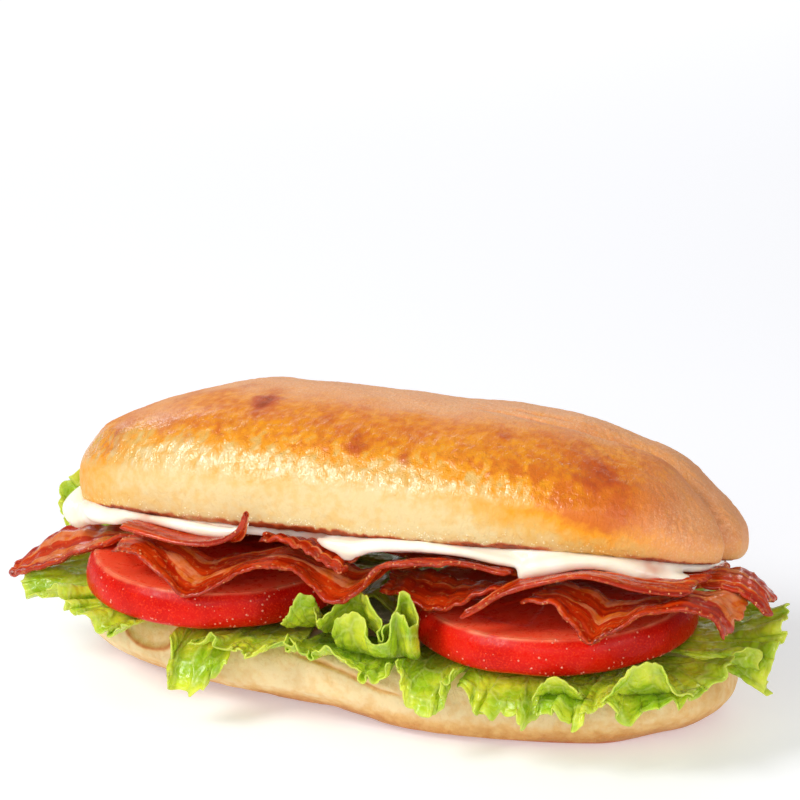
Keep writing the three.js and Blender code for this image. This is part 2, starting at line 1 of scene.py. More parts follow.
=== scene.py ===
"""Looks of a long soft roll filled with lettuce, tomato, fried bacon and mayonnaise.

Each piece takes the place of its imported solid, in the same frame: metres, +Z up, +X along the roll, and the
open, well filled long side faces -Y. Sizes in this file are in millimetres, and meshes are made in metres.
"""

from __future__ import annotations

import itertools
import logging
import math
from dataclasses import dataclass
from enum import Enum
from functools import cached_property, partial
from typing import Any

import bpy
import numpy as np
from bpy.types import Material, Node, NodeSocket, NodeTree, Object
from mathutils import Matrix, Quaternion, Vector

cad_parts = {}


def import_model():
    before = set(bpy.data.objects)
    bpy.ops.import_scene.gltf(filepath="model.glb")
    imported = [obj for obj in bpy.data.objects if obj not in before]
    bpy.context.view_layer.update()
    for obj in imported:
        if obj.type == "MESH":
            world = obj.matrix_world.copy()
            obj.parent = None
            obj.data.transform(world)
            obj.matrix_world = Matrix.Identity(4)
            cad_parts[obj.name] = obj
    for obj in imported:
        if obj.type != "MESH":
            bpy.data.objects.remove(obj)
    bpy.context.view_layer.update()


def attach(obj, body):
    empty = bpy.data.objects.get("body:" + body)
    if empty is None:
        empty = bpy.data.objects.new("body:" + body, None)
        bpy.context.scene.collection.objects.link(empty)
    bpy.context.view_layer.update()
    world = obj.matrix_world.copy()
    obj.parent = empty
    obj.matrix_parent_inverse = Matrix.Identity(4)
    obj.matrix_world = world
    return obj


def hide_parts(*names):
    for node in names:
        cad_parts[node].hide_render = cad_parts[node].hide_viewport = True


MM = 0.001
TAU = 2 * math.pi
# Sizes and places that belong together; the class that holds them says in which order.
Array = np.ndarray
Pairs = tuple[tuple[float, float], ...]
Station = tuple[float, float, float]
Four = tuple[float, float, float, float]
Five = tuple[float, float, float, float, float]
LOG = logging.getLogger("blt_sandwich")

# The numbers that turn a lattice cell into a fixed random value.
AXIS_PRIMES = (73856093, 19349663, 83492791)
HASH_ROUNDS = ((13, 1274126177), (16, 668265263))
HASH_TOP = 0x7FFFFFFF


# ---------------------------- curves and noise


def smooth(t: Array) -> Array:
    """Eases a share from 0 to 1 in and out."""
    t = np.clip(t, 0, 1)
    return t * t * (3 - 2 * t)


def step(low: float, high: float, t: Array) -> Array:
    """Rises smoothly from 0 at low to 1 at high, or falls where low is above high."""
    return smooth((t - low) / (high - low))


def lerp(a: Any, b: Any, t: Any) -> Any:
    """The value a share t of the way from a to b."""
    return a + (b - a) * t


def hill(x: Array, at: float | Array, width: float | Array) -> Array:
    """A smooth hill of height 1 around a place, that far across to its flanks."""
    return np.exp(-(((x - at) / width) ** 2))


def drift(t: Array, seed: float) -> Array:
    """A smooth irregular wave of t, between about -1 and 1."""
    return (
        0.5 * np.sin(TAU * t + 1.7 * seed)
        + 0.3 * np.sin(TAU * 2.3 * t + 4.1 * seed + 1)
        + 0.2 * np.sin(TAU * 3.9 * t + 2.9 * seed + 2)
    )


def hashed(cell: Array, seed: int) -> Array:
    """A fixed random value from 0 to 1 for each lattice cell.

    Args:
        cell: Whole numbers, with the coordinates along the last axis.
        seed: Picks another set of values.

    Returns:
        One value for each cell.
    """
    mixed = np.full(cell.shape[:-1], seed * 7919 + 17, np.int64)
    for k in range(cell.shape[-1]):
        mixed ^= cell[..., k] * AXIS_PRIMES[k]
    for shift, factor in HASH_ROUNDS:
        mixed = (mixed ^ (mixed >> shift)) * factor & HASH_TOP
    return (mixed ^ (mixed >> 11) & 0xFFFFF) / HASH_TOP


def noise(seed: int, *coordinates: Array) -> Array:
    """Smooth noise between -1 and 1, with one unit between its knots.

    Args:
        seed: Picks another noise.
        coordinates: One array for each axis, up to three, that broadcast together.

    Returns:
        The noise at each point.
    """
    place = np.stack(np.broadcast_arrays(*coordinates), -1).astype(float)
    cell = np.floor(place).astype(np.int64)
    share = place - cell
    share = share * share * (3 - 2 * share)
    total = np.zeros(place.shape[:-1])
    for corner in itertools.product((0, 1), repeat=place.shape[-1]):
        offset = np.array(corner)
        weight = np.prod(np.where(offset == 1, share, 1 - share), axis=-1)
        total += weight * hashed(cell + offset, seed)
    return 2 * total - 1


def cell_edges(seed: int, x: Array, y: Array) -> Array:
    """How far a point is from the border of its cell in a net of irregular cells one unit wide.

    Args:
        seed: Picks another net.
        x: First coordinate.
        y: Second coordinate.

    Returns:
        About 0 on a border and 0.5 or more in the middle of a cell.
    """
    place = np.stack(np.broadcast_arrays(x, y), -1).astype(float)
    home = np.floor(place).astype(np.int64)
    nearest = np.full(place.shape[:-1], np.inf)
    second = nearest.copy()
    for dx, dy in itertools.product((-1, 0, 1), repeat=2):
        cell = home + np.array((dx, dy))
        centre = cell + 0.5 + 0.75 * (np.stack([hashed(cell, seed), hashed(cell, seed + 101)], -1) - 0.5)
        distance = np.linalg.norm(place - centre, axis=-1)
        second = np.where(distance < nearest, nearest, np.minimum(second, distance))
        nearest = np.minimum(nearest, distance)
    return second - nearest


class Rail:
    """A smooth curve through stations."""

    def __init__(self, stations: Array | list | tuple) -> None:
        """Takes the stations, each as [x, y, z]."""
        points = np.asarray(stations, float)
        self.points = np.vstack([2 * points[0] - points[1], points, 2 * points[-1] - points[-2]])
        shares = np.linspace(0, 1, 400)
        lengths = np.linalg.norm(np.diff(self.at(shares), axis=0), axis=1)
        self._run = (shares, np.concatenate([[0.0], np.cumsum(lengths)]))

    @property
    def length(self) -> float:
        """The length of the whole curve."""
        return float(self._run[1][-1])

    def at(self, share: Array) -> Array:
        """The point a share of the way along, counted by stations."""
        spans = len(self.points) - 3
        place = np.clip(share, 0, 1) * spans
        i = np.minimum(place.astype(int), spans - 1)
        t = (place - i)[..., None]
        p0, p1, p2, p3 = (self.points[i + k] for k in range(4))
        d0, d1, d2 = (
            np.sqrt(np.maximum(np.linalg.norm(b - a, axis=-1, keepdims=True), 1e-8))
            for a, b in ((p0, p1), (p1, p2), (p2, p3))
        )
        m1 = ((p1 - p0) / d0 - (p2 - p0) / (d0 + d1) + (p2 - p1) / d1) * d1
        m2 = ((p2 - p1) / d1 - (p3 - p1) / (d1 + d2) + (p3 - p2) / d2) * d1
        bend = (2 * p1 - 2 * p2 + m1 + m2) * t + (3 * p2 - 3 * p1 - 2 * m1 - m2)
        return bend * t * t + m1 * t + p1

    def direction(self, share: Array) -> Array:
        """The unit direction of the curve a share of the way along."""
        ahead = self.at(np.minimum(share + 1e-3, 1)) - self.at(np.maximum(share - 1e-3, 0))
        return unit(ahead)

    def run(self, share: Array) -> Array:
        """The length of the curve up to a share of the way along."""
        return np.interp(share, *self._run)


def unit(v: Array) -> Array:
    """The vectors scaled to length 1."""
    return v / np.maximum(np.linalg.norm(v, axis=-1, keepdims=True), 1e-12)


def profile_points(profile: Pairs, count: int) -> Array:
    """Evenly counted points of a smooth side profile, each as [distance in or out, height, 0]."""
    return Rail([(out, z, 0) for out, z in profile]).at(np.linspace(0, 1, count))


def split(points: Array) -> tuple[Array, Array, Array]:
    """The x, y and z of points."""
    return points[..., 0], points[..., 1], points[..., 2]


# ---------------------------- meshes


def new_object(name: str, data: Any) -> Object:
    """A new object in the scene that holds the data."""
    made = bpy.data.objects.new(name, data)
    bpy.context.scene.collection.objects.link(made)
    return made


def make_object(
    name: str,
    points: Array,
    faces: Array,
    fields: dict[str, Array] | None = None,
    uv: Array | None = None,
    finish: Material | None = None,
) -> Object:
    """Makes a smooth shaded mesh object at the origin.

    Args:
        name: The piece's name.
        points: Vertices in millimetres.
        faces: Vertex numbers, four for each face; a triangle repeats its last one.
        fields: Values for each vertex, which materials read by name.
        uv: Two surface lengths in millimetres for each vertex, which the UV map holds in metres.
        finish: The material.

    Returns:
        The object, in the scene.
    """
    mesh = bpy.data.meshes.new(name)
    quads = [tuple(dict.fromkeys(face)) for face in faces.tolist()]
    mesh.from_pydata((points * MM).tolist(), [], quads)
    mesh.validate()
    if uv is not None:
        layer = mesh.uv_layers.new(name="surface")
        corner = np.zeros(len(mesh.loops), np.int32)
        mesh.loops.foreach_get("vertex_index", corner)
        layer.data.foreach_set("uv", (uv[corner] * MM).astype(np.float32).ravel())
    for field_name, values in (fields or {}).items():
        attribute = mesh.attributes.new(field_name, "FLOAT", "POINT")
        attribute.data.foreach_set("value", np.asarray(values, np.float32).ravel())
    mesh.polygons.foreach_set("use_smooth", np.ones(len(mesh.polygons), bool))
    mesh.update()
    if finish:
        mesh.materials.append(finish)
    return new_object(name, mesh)


def join(whole: Object, pieces: list[Object]) -> None:
    """Joins the pieces, of which the whole is one, into the whole."""
    with bpy.context.temp_override(active_object=whole, object=whole, selected_editable_objects=pieces):
        bpy.ops.object.join()


def flatten(piece: Object) -> None:
    """Turns a piece with modifiers into a plain mesh."""
    evaluated = piece.evaluated_get(bpy.context.evaluated_depsgraph_get())
    plain = bpy.data.meshes.new_from_object(evaluated)
    piece.modifiers.clear()
    piece.data = plain


def ring_faces(rings: int, count: int) -> Array:
    """Faces for closed rings of count vertices each, from a lower to an upper middle vertex.

    Args:
        rings: How many rings there are.
        count: How many vertices each has.

    Returns:
        The faces; vertex 0 is the lower middle and the last vertex the upper one.
    """
    i = np.arange(count)
    after = (i + 1) % count
    last = 1 + rings * count
    faces = [np.stack([np.zeros_like(i), 1 + after, 1 + i, 1 + i], -1)]
    for ring in range(rings - 1):
        low = 1 + ring * count
        high = low + count
        faces.append(np.stack([low + i, low + after, high + after, high + i], -1))
    top = 1 + (rings - 1) * count
    faces.append(np.stack([np.full_like(i, last), top + i, top + after, top + after], -1))
    return np.concatenate(faces)


def ring_points(rings: Array, lowest: Array, highest: Array) -> Array:
    """The vertices that go with ring_faces, for rings of shape (rings, count, 3)."""
    return np.concatenate([lowest.reshape(1, 3), rings.reshape(-1, 3), highest.reshape(1, 3)])


def ring_fields(**fields: Array) -> dict[str, Array]:
    """The fields that go with ring_points, from their values on the rings."""
    return {
        name: np.concatenate([[values[0].mean()], values.ravel(), [values[-1].mean()]])
        for name, values in fields.items()
    }


def grid_normals(points: Array) -> Array:
    """Unit normals of a grid of points of shape (across, along, 3)."""
    return unit(np.cross(np.gradient(points, axis=0), np.gradient(points, axis=1)))


def ring_normals(rings: Array) -> Array:
    """Outward unit normals of closed rings that run from the bottom to the top."""
    around = np.roll(rings, -1, axis=1) - np.roll(rings, 1, axis=1)
    return unit(np.cross(around, np.gradient(rings, axis=0)))


def sheet(middle: Array, half: Array) -> tuple[Array, Array]:
    """Closes a thin sheet around a grid of points.

    Args:
        middle: The middle surface, of shape (across, along, 3).
        half: Half the thickness at each point.

    Returns:
        The vertices, the upper face's and then the lower one's, and the faces.
    """
    across, along = middle.shape[:2]
    offset = grid_normals(middle) * half[..., None]
    points = np.concatenate([(middle + offset).reshape(-1, 3), (middle - offset).reshape(-1, 3)])
    number = np.arange(across * along).reshape(across, along)
    a, b, c, d = number[:-1, :-1], number[1:, :-1], number[1:, 1:], number[:-1, 1:]
    under = across * along
    upper = np.stack([a, b, c, d], -1).reshape(-1, 4)
    lower = np.stack([a, d, c, b], -1).reshape(-1, 4) + under
    edge = np.concatenate([number[:-1, 0], number[-1, :-1], number[:0:-1, -1], number[0, :0:-1]])
    after = np.roll(edge, -1)
    sides = np.stack([edge, under + edge, under + after, after], -1)
    return points, np.concatenate([upper, lower, sides])


def sheet_fields(**fields: Array) -> dict[str, Array]:
    """The fields that go with a sheet, the same on both of its faces."""
    return {name: np.tile(values.ravel(), 2) for name, values in fields.items()}


# ---------------------------- materials


def linear(colour: str) -> tuple[float, float, float, float]:
    """Turns an sRGB hex colour such as #c08040 into linear red, green, blue and alpha."""
    shares = [int(colour[i : i + 2], 16) / 255 for i in (1, 3, 5)]
    return (*(s / 12.92 if s <= 0.04045 else ((s + 0.055) / 1.055) ** 2.4 for s in shares), 1.0)


def per_metre(size_mm: float) -> float:
    """The scale of a pattern whose features are this many millimetres apart."""
    return 1 / (size_mm * MM)


def feed(tree: NodeTree, socket: NodeSocket, value: Any) -> None:
    """Gives an input a link to an output socket, a colour from its hex value, or a plain value."""
    if isinstance(value, NodeSocket):
        tree.links.new(value, socket)
    elif isinstance(value, str) and value.startswith("#"):
        socket.default_value = linear(value)
    else:
        socket.default_value = value


def add_node(
    tree: NodeTree,
    kind: str,
    inputs: dict[str | int, Any] | None = None,
    stops: list[tuple[float, str]] | None = None,
    **settings: Any,
) -> Node:
    """Adds a node with its settings, values and links.

    Args:
        tree: The tree to add it to.
        kind: The node's type name.
        inputs: Values, hex colours or output sockets, by input name or number.
        stops: A ramp's places and hex colours.
        settings: The node's own properties.

    Returns:
        The new node.
    """
    made = tree.nodes.new(kind)
    for name, value in settings.items():
        setattr(made, name, value)
    if stops:
        ramp = made.color_ramp
        while len(ramp.elements) < len(stops):
            ramp.elements.new(0.5)
        for element, (place, colour) in zip(ramp.elements, stops):
            element.position = place
            element.color = linear(colour)
    for key, value in (inputs or {}).items():
        feed(tree, made.inputs[key], value)
    return made


class Op(Enum):
    """How a finish works one value out from others: a node, its settings, its inputs and its output."""

    ADD = ("ShaderNodeMath", {"operation": "ADD"}, (0, 1), 0)
    ADD_CLAMPED = ("ShaderNodeMath", {"operation": "ADD", "use_clamp": True}, (0, 1), 0)
    SUBTRACT = ("ShaderNodeMath", {"operation": "SUBTRACT"}, (0, 1), 0)
    MULTIPLY = ("ShaderNodeMath", {"operation": "MULTIPLY"}, (0, 1), 0)
    LARGER = ("ShaderNodeMath", {"operation": "MAXIMUM"}, (0, 1), 0)
    SPREAD = ("ShaderNodeMapRange", {"interpolation_type": "SMOOTHSTEP"}, (0, 1, 2, 3, 4), 0)
    OVER = ("ShaderNodeMix", {"data_type": "RGBA"}, (0, 6, 7), 2)
    LIGHTEN = ("ShaderNodeMix", {"data_type": "RGBA", "blend_type": "LIGHTEN"}, (0, 6, 7), 2)
    RELIEF = ("ShaderNodeBump", {}, ("Height", "Distance", "Normal"), 0)


class Board:
    """A material's node tree, with its coordinates and fields ready, on which a finish is laid."""

    def __init__(self, name: str, *fields: str) -> None:
        """Starts a material of that name, which reads the named fields from its mesh."""
        self.material = bpy.data.materials.new(name)
        self.material.use_nodes = True
        self.tree = self.material.node_tree
        self.tree.nodes.clear()
        self.shader = add_node(self.tree, "ShaderNodeBsdfPrincipled")
        add_node(self.tree, "ShaderNodeOutputMaterial", {"Surface": self.shader.outputs[0]})
        coordinates = add_node(self.tree, "ShaderNodeTexCoord")
        self.place = coordinates.outputs["Object"]
        self.surface = coordinates.outputs["UV"]
        self.fields = {
            field: add_node(self.tree, "ShaderNodeAttribute", attribute_name=field).outputs["Fac"]
            for field in fields
        }

    def grain(
        self,
        size_mm: float,
        detail: float = 3,
        stretch: Station = (1, 1, 1),
        at: NodeSocket | None = None,
        distortion: float = 0,
    ) -> NodeSocket:
        """A noise about 0.5, with features this many millimetres apart, stretched along each axis."""
        stretched = add_node(
            self.tree,
            "ShaderNodeMapping",
            {"Vector": at or self.place, "Scale": tuple(1 / s for s in stretch)},
        )
        scale = per_metre(size_mm)
        inputs = {"Vector": stretched.outputs[0], "Scale": scale, "Detail": detail, "Distortion": distortion}
        return add_node(self.tree, "ShaderNodeTexNoise", inputs).outputs["Fac"]

    def work(self, how: Op, *values: Any) -> NodeSocket:
        """Works a value or a colour out from others, given in the order of the step's inputs."""
        kind, settings, keys, output = how.value
        return add_node(self.tree, kind, dict(zip(keys, values)), **settings).outputs[output]

    def dress(self, **inputs: Any) -> Material:
        """Sets the shader's inputs, with spaces written as underscores, and gives the material."""
        for name, value in inputs.items():
            feed(self.tree, self.shader.inputs[name.replace("_", " ")], value)
        return self.material


# In the finishes below, a name that ends in _mm is the distance between a pattern's features, and a pair of
# lengths is that distance and the depth of the relief.


@dataclass(frozen=True)
class BakedCrust:
    """Baked wheat crust: a thin glossy brown skin over pale dough, wrinkled where it shrank."""

    name: str
    pale: str = "#e3c88e"
    straw: str = "#e3b15a"
    gold: str = "#f09a06"
    amber: str = "#d66e06"
    tan: str = "#eda972"
    scorch: str = "#c0500f"
    char: str = "#8a3410"
    flour: str = "#fbe6c4"
    crumb: str = "#ecd9b0"
    roughness: tuple[float, float] = (0.2, 0.65)
    cloud_mm: float = 9
    mottle_mm: float = 2.4
    pepper_mm: float = 0.5
    wrinkles_mm: tuple[float, float] = (1.0, 0.34)
    pores_mm: tuple[float, float] = (0.42, 0.1)

    def material(self) -> Material:
        """Builds the crust, which reads bake, tan, scorch, crumb and gloss from the mesh."""
        board = Board(self.name, "bake", "tan", "scorch", "crumb", "gloss")
        work, field = board.work, board.fields
        cloud = board.grain(self.cloud_mm, 4)
        mottle = board.grain(self.mottle_mm, 4)
        pepper = board.grain(self.pepper_mm, 2)

        bake = work(Op.ADD, field["bake"], work(Op.SPREAD, cloud, 0.25, 0.75, -0.1, 0.1))
        bake = work(Op.ADD_CLAMPED, bake, work(Op.SPREAD, mottle, 0.25, 0.75, -0.12, 0.12))
        colour = add_node(
            board.tree,
            "ShaderNodeValToRGB",
            {"Fac": bake},
            [(0.0, self.pale), (0.35, self.straw), (0.68, self.gold), (1.0, self.amber)],
        ).outputs[0]
        tan = work(Op.MULTIPLY, field["tan"], work(Op.SPREAD, mottle, 0.2, 0.7, 0.6, 1.0))
        colour = work(Op.OVER, tan, colour, self.tan)
        # The scorch field also holds painted shade in the seam's cracks, which takes the scorch and char
        # colours.
        scorch = work(Op.MULTIPLY, field["scorch"], work(Op.SPREAD, mottle, 0.3, 0.6, 0.75, 1.0))
        colour = work(Op.OVER, work(Op.SPREAD, scorch, 0.0, 0.7), colour, self.scorch)
        colour = work(Op.OVER, work(Op.SPREAD, scorch, 0.55, 1.0), colour, self.char)
        flour = work(Op.MULTIPLY, tan, work(Op.SPREAD, pepper, 0.48, 0.7, 0.0, 0.35))
        colour = work(Op.LIGHTEN, flour, colour, self.flour)
        colour = work(Op.OVER, field["crumb"], colour, self.crumb)

        matt = work(Op.ADD_CLAMPED, field["crumb"], work(Op.SPREAD, mottle, 0.3, 0.7, 0.0, 0.3))
        matt = work(Op.SUBTRACT, matt, field["gloss"])
        size, depth = self.wrinkles_mm
        skin = work(Op.RELIEF, board.grain(size, 3, (1, 1.7, 1.7), distortion=0.6), depth * MM)
        size, depth = self.pores_mm
        skin = work(Op.RELIEF, board.grain(size, 2), depth * MM, skin)
        return board.dress(
            Base_Color=colour,
            Roughness=work(Op.SPREAD, matt, -1.0, 0.5, *self.roughness),
            Normal=skin,
            IOR=1.45,
            Coat_Weight=work(Op.MULTIPLY, field["gloss"], 0.9),
            Coat_Roughness=0.15,
            Coat_Normal=skin,
            Subsurface_Weight=0.08,
            Subsurface_Radius=(1.0, 0.45, 0.2),
            Subsurface_Scale=0.0015,
        )


@dataclass(frozen=True)
class TomatoFlesh:
    """Ripe tomato: taut waxy skin round firm wet flesh, which is paler in the wall beneath the skin."""

    name: str = "ripe_tomato"
    skin: str = "#de1a08"
    deep: str = "#c40e05"
    flush: str = "#e63c1a"
    rim: str = "#f08a62"
    flesh: str = "#e8341a"
    wall: str = "#fb5c38"
    cloud_mm: float = 14
    fibre_mm: float = 1.6
    freckles_mm: tuple[float, float] = (0.5, 0.05)
    dimples_mm: tuple[float, float] = (1.4, 0.08)

    def material(self) -> Material:
        """Builds the slice's skin and cut faces, which read cut, wall and rim from the mesh."""
        board = Board(self.name, "cut", "wall", "rim")
        work, field = board.work, board.fields
        cloud = board.grain(self.cloud_mm, 3)
        freckle = board.grain(self.freckles_mm[0], 2)
        fibre = board.grain(self.fibre_mm, 4)

        skin = work(Op.OVER, work(Op.SPREAD, cloud, 0.3, 0.7), self.deep, self.skin)
        skin = work(Op.OVER, work(Op.SPREAD, freckle, 0.5, 0.68, 0.0, 0.75), skin, self.flush)
        flesh = work(Op.OVER, work(Op.SPREAD, fibre, 0.3, 0.7), self.flesh, self.flush)
        flesh = work(Op.OVER, field["wall"], flesh, self.wall)
        colour = work(Op.OVER, field["cut"], skin, flesh)
        # The rim colour, a pale line along the cut edge, is partly the skin's cut edge and partly a painted
        # highlight where the edge catches the light.
        colour = work(Op.OVER, field["rim"], colour, self.rim)

        size, depth = self.dimples_mm
        dimples = work(Op.RELIEF, board.grain(size, 3), depth * MM)
        return board.dress(
            Base_Color=colour,
            Roughness=work(Op.SPREAD, fibre, 0.3, 0.7, 0.24, 0.42),
            Normal=work(Op.RELIEF, freckle, self.freckles_mm[1] * MM, dimples),
            IOR=1.36,
            Specular_IOR_Level=0.25,
            Subsurface_Weight=0.6,
            Subsurface_Radius=(1.0, 0.16, 0.08),
            Subsurface_Scale=0.007,
        )


@dataclass(frozen=True)
class FriedBacon:
    """Fried streaky bacon: lean that has browned to red and mahogany, amber fat, and a film of grease."""

    name: str = "fried_streaky_bacon"
    lean: str = "#a41c04"
    bright: str = "#d4420c"
    dark: str = "#661604"
    fat: str = "#e08c5c"
    amber: str = "#dc701c"
    fleck: str = "#e08c48"
    streak_mm: float = 2.6
    cloud_mm: float = 4.5
    fleck_mm: float = 1.5
    fibres_mm: tuple[float, float] = (1.1, 0.13)
    pebbles_mm: tuple[float, float] = (0.7, 0.1)
    film_mm: tuple[float, float] = (1.6, 0.24)

    def material(self) -> Material:
        """Builds the strip, which reads fat and crisp from the mesh, and its fibres from the UV map."""
        board = Board(self.name, "fat", "crisp")
        work, field = board.work, board.fields
        fibre = board.grain(self.fibres_mm[0], 4, (6, 1, 1), board.surface)
        streak = board.grain(self.streak_mm, 3, (8, 1, 1), board.surface)
        cloud = board.grain(self.cloud_mm, 3, at=board.surface)
        pebble = board.grain(self.pebbles_mm[0], 2)

        lean = work(Op.OVER, work(Op.SPREAD, streak, 0.32, 0.68), self.lean, self.bright)
        lean = work(Op.OVER, work(Op.SPREAD, fibre, 0.52, 0.72, 0.0, 0.45), lean, self.dark)
        fat = work(Op.OVER, work(Op.SPREAD, cloud, 0.4, 0.62), self.amber, self.fat)
        fattiness = work(Op.ADD_CLAMPED, field["fat"], work(Op.SPREAD, fibre, 0.25, 0.75, -0.4, 0.3))
        colour = work(Op.OVER, work(Op.SPREAD, fattiness, 0.4, 1.0, 0.0, 0.85), lean, fat)
        crisp = work(Op.MULTIPLY, field["crisp"], work(Op.SPREAD, pebble, 0.35, 0.6, 0.1, 0.75))
        colour = work(Op.OVER, crisp, colour, self.dark)
        fleck = work(Op.SPREAD, board.grain(self.fleck_mm, 3), 0.56, 0.7, 0.0, 0.5)
        colour = work(Op.OVER, fleck, colour, self.fleck)

        meat = work(Op.RELIEF, fibre, self.fibres_mm[1] * MM)
        meat = work(Op.RELIEF, pebble, self.pebbles_mm[1] * MM, meat)
        size, depth = self.film_mm
        return board.dress(
            Base_Color=colour,
            Roughness=work(Op.SPREAD, cloud, 0.3, 0.7, 0.14, 0.3),
            Normal=meat,
            IOR=1.46,
            Specular_IOR_Level=0.15,
            Coat_Weight=0.45,
            Coat_Roughness=0.05,
            Coat_Normal=work(Op.RELIEF, board.grain(size, 2), depth * MM),
            Subsurface_Weight=0.2,
            Subsurface_Radius=(1.0, 0.3, 0.12),
            Subsurface_Scale=0.0015,
        )


@dataclass(frozen=True)
class LettuceLeaf:
    """Green leaf lettuce: thin, crisp and blistered, with pale veins and a lighter frilled margin, partly a
    paler rim and partly a painted highlight of light through the thin edge.
    """

    name: str = "green_leaf_lettuce"
    blade: str = "#9ebe1c"
    light: str = "#d3dc36"
    # deep is the colour of painted shade, laid where the leaf lies in shadow.
    deep: str = "#507e1c"
    vein: str = "#dfe88c"
    edge: str = "#dfe86e"
    cloud_mm: float = 9
    wax_mm: float = 4
    vein_wander_mm: tuple[float, float] = (3, 2)
    vein_cells_mm: tuple[float, float] = (2.8, 0.12)
    puckers_mm: tuple[float, float] = (2.2, 0.3)

    def material(self) -> Material:
        """Builds the leaf, which reads vein, margin and painted shade from the mesh."""
        board = Board(self.name, "vein", "margin", "hollow")
        work, field = board.work, board.fields
        cloud = board.grain(self.cloud_mm, 3)
        size, reach = self.vein_wander_mm
        wander = add_node(
            board.tree,
            "ShaderNodeTexNoise",
            {"Vector": board.surface, "Scale": per_metre(size), "Detail": 2.0},
        )
        bent = add_node(
            board.tree,
            "ShaderNodeVectorMath",
            {0: wander.outputs["Color"], 1: (reach * MM,) * 3, 2: board.surface},
            operation="MULTIPLY_ADD",
        )
        net = add_node(
            board.tree,
            "ShaderNodeTexVoronoi",
            {"Vector": bent.outputs[0], "Scale": per_metre(self.vein_cells_mm[0])},
            feature="DISTANCE_TO_EDGE",
        ).outputs["Distance"]

        blade = work(Op.OVER, work(Op.SPREAD, cloud, 0.35, 0.65), self.blade, self.light)
        # Painted shade: the deep green darkens the hollows between blisters and the leaf towards its root,
        # under the tomato.
        blade = work(Op.OVER, work(Op.MULTIPLY, field["hollow"], 0.8), blade, self.deep)
        veins = work(Op.LARGER, work(Op.SPREAD, net, 0.0, 0.07, 0.5, 0.0), field["vein"])
        colour = work(Op.OVER, work(Op.MULTIPLY, veins, 0.36), blade, self.vein)
        # The lighter margin is partly a paler rim and partly a painted highlight of light shining through the
        # thin edge.
        colour = work(Op.OVER, work(Op.MULTIPLY, field["margin"], 0.4), colour, self.edge)

        skin = work(Op.RELIEF, work(Op.SPREAD, net, 0.0, 0.4), self.vein_cells_mm[1] * MM)
        size, depth = self.puckers_mm
        skin = work(Op.RELIEF, board.grain(size, 3), depth * MM, skin)
        return board.dress(
            Base_Color=colour,
            Roughness=work(Op.SPREAD, board.grain(self.wax_mm, 2), 0.3, 0.7, 0.2, 0.4),
            Normal=skin,
            IOR=1.42,
            Subsurface_Weight=0.4,
            Subsurface_Radius=(0.7, 1.0, 0.12),
            Subsurface_Scale=0.0018,
        )


@dataclass(frozen=True)
class Mayonnaise:
    """Mayonnaise: a smooth ivory emulsion, glossy where it has been squeezed out."""

    name: str = "whole_egg_mayonnaise"
    cream: str = "#fdf8e8"
    shade: str = "#f8eed6"
    pink: str = "#dca084"
    cloud_mm: float = 12
    sheen_mm: float = 5
    ripples_mm: tuple[float, float] = (2.2, 0.03)

    def material(self) -> Material:
        """Builds the spread, which reads smear from the mesh."""
        board = Board(self.name, "smear")
        work = board.work
        cloud = work(Op.SPREAD, board.grain(self.cloud_mm, 2), 0.35, 0.65)
        colour = work(Op.OVER, cloud, self.cream, self.shade)
        smear = work(Op.MULTIPLY, board.fields["smear"], 0.75)
        size, depth = self.ripples_mm
        return board.dress(
            Base_Color=work(Op.OVER, smear, colour, self.pink),
            Roughness=work(Op.SPREAD, board.grain(self.sheen_mm, 2), 0.3, 0.7, 0.16, 0.26),
            Normal=work(Op.RELIEF, board.grain(size, 2), depth * MM),
            IOR=1.45,
            Subsurface_Weight=0.35,
            Subsurface_Radius=(1.0, 0.8, 0.5),
            Subsurface_Scale=0.002,
        )


@dataclass(frozen=True)
class ClearBead:
    """A clear bead of water or melted fat, which shows as a small sharp glint; its pale colour is a painted
    highlight.
    """

    name: str
    painted_glint: str
    clear: float
    haze_mm: float = 1.0

    def material(self) -> Material:
        """Builds the bead."""
        board = Board(self.name)
        haze = board.work(Op.SPREAD, board.grain(self.haze_mm, 1), 0.3, 0.7, 0.02, 0.08)
        return board.dress(Base_Color=self.painted_glint, Roughness=haze, IOR=1.4, Transmission_Weight=self.clear)


# ---------------------------- bread


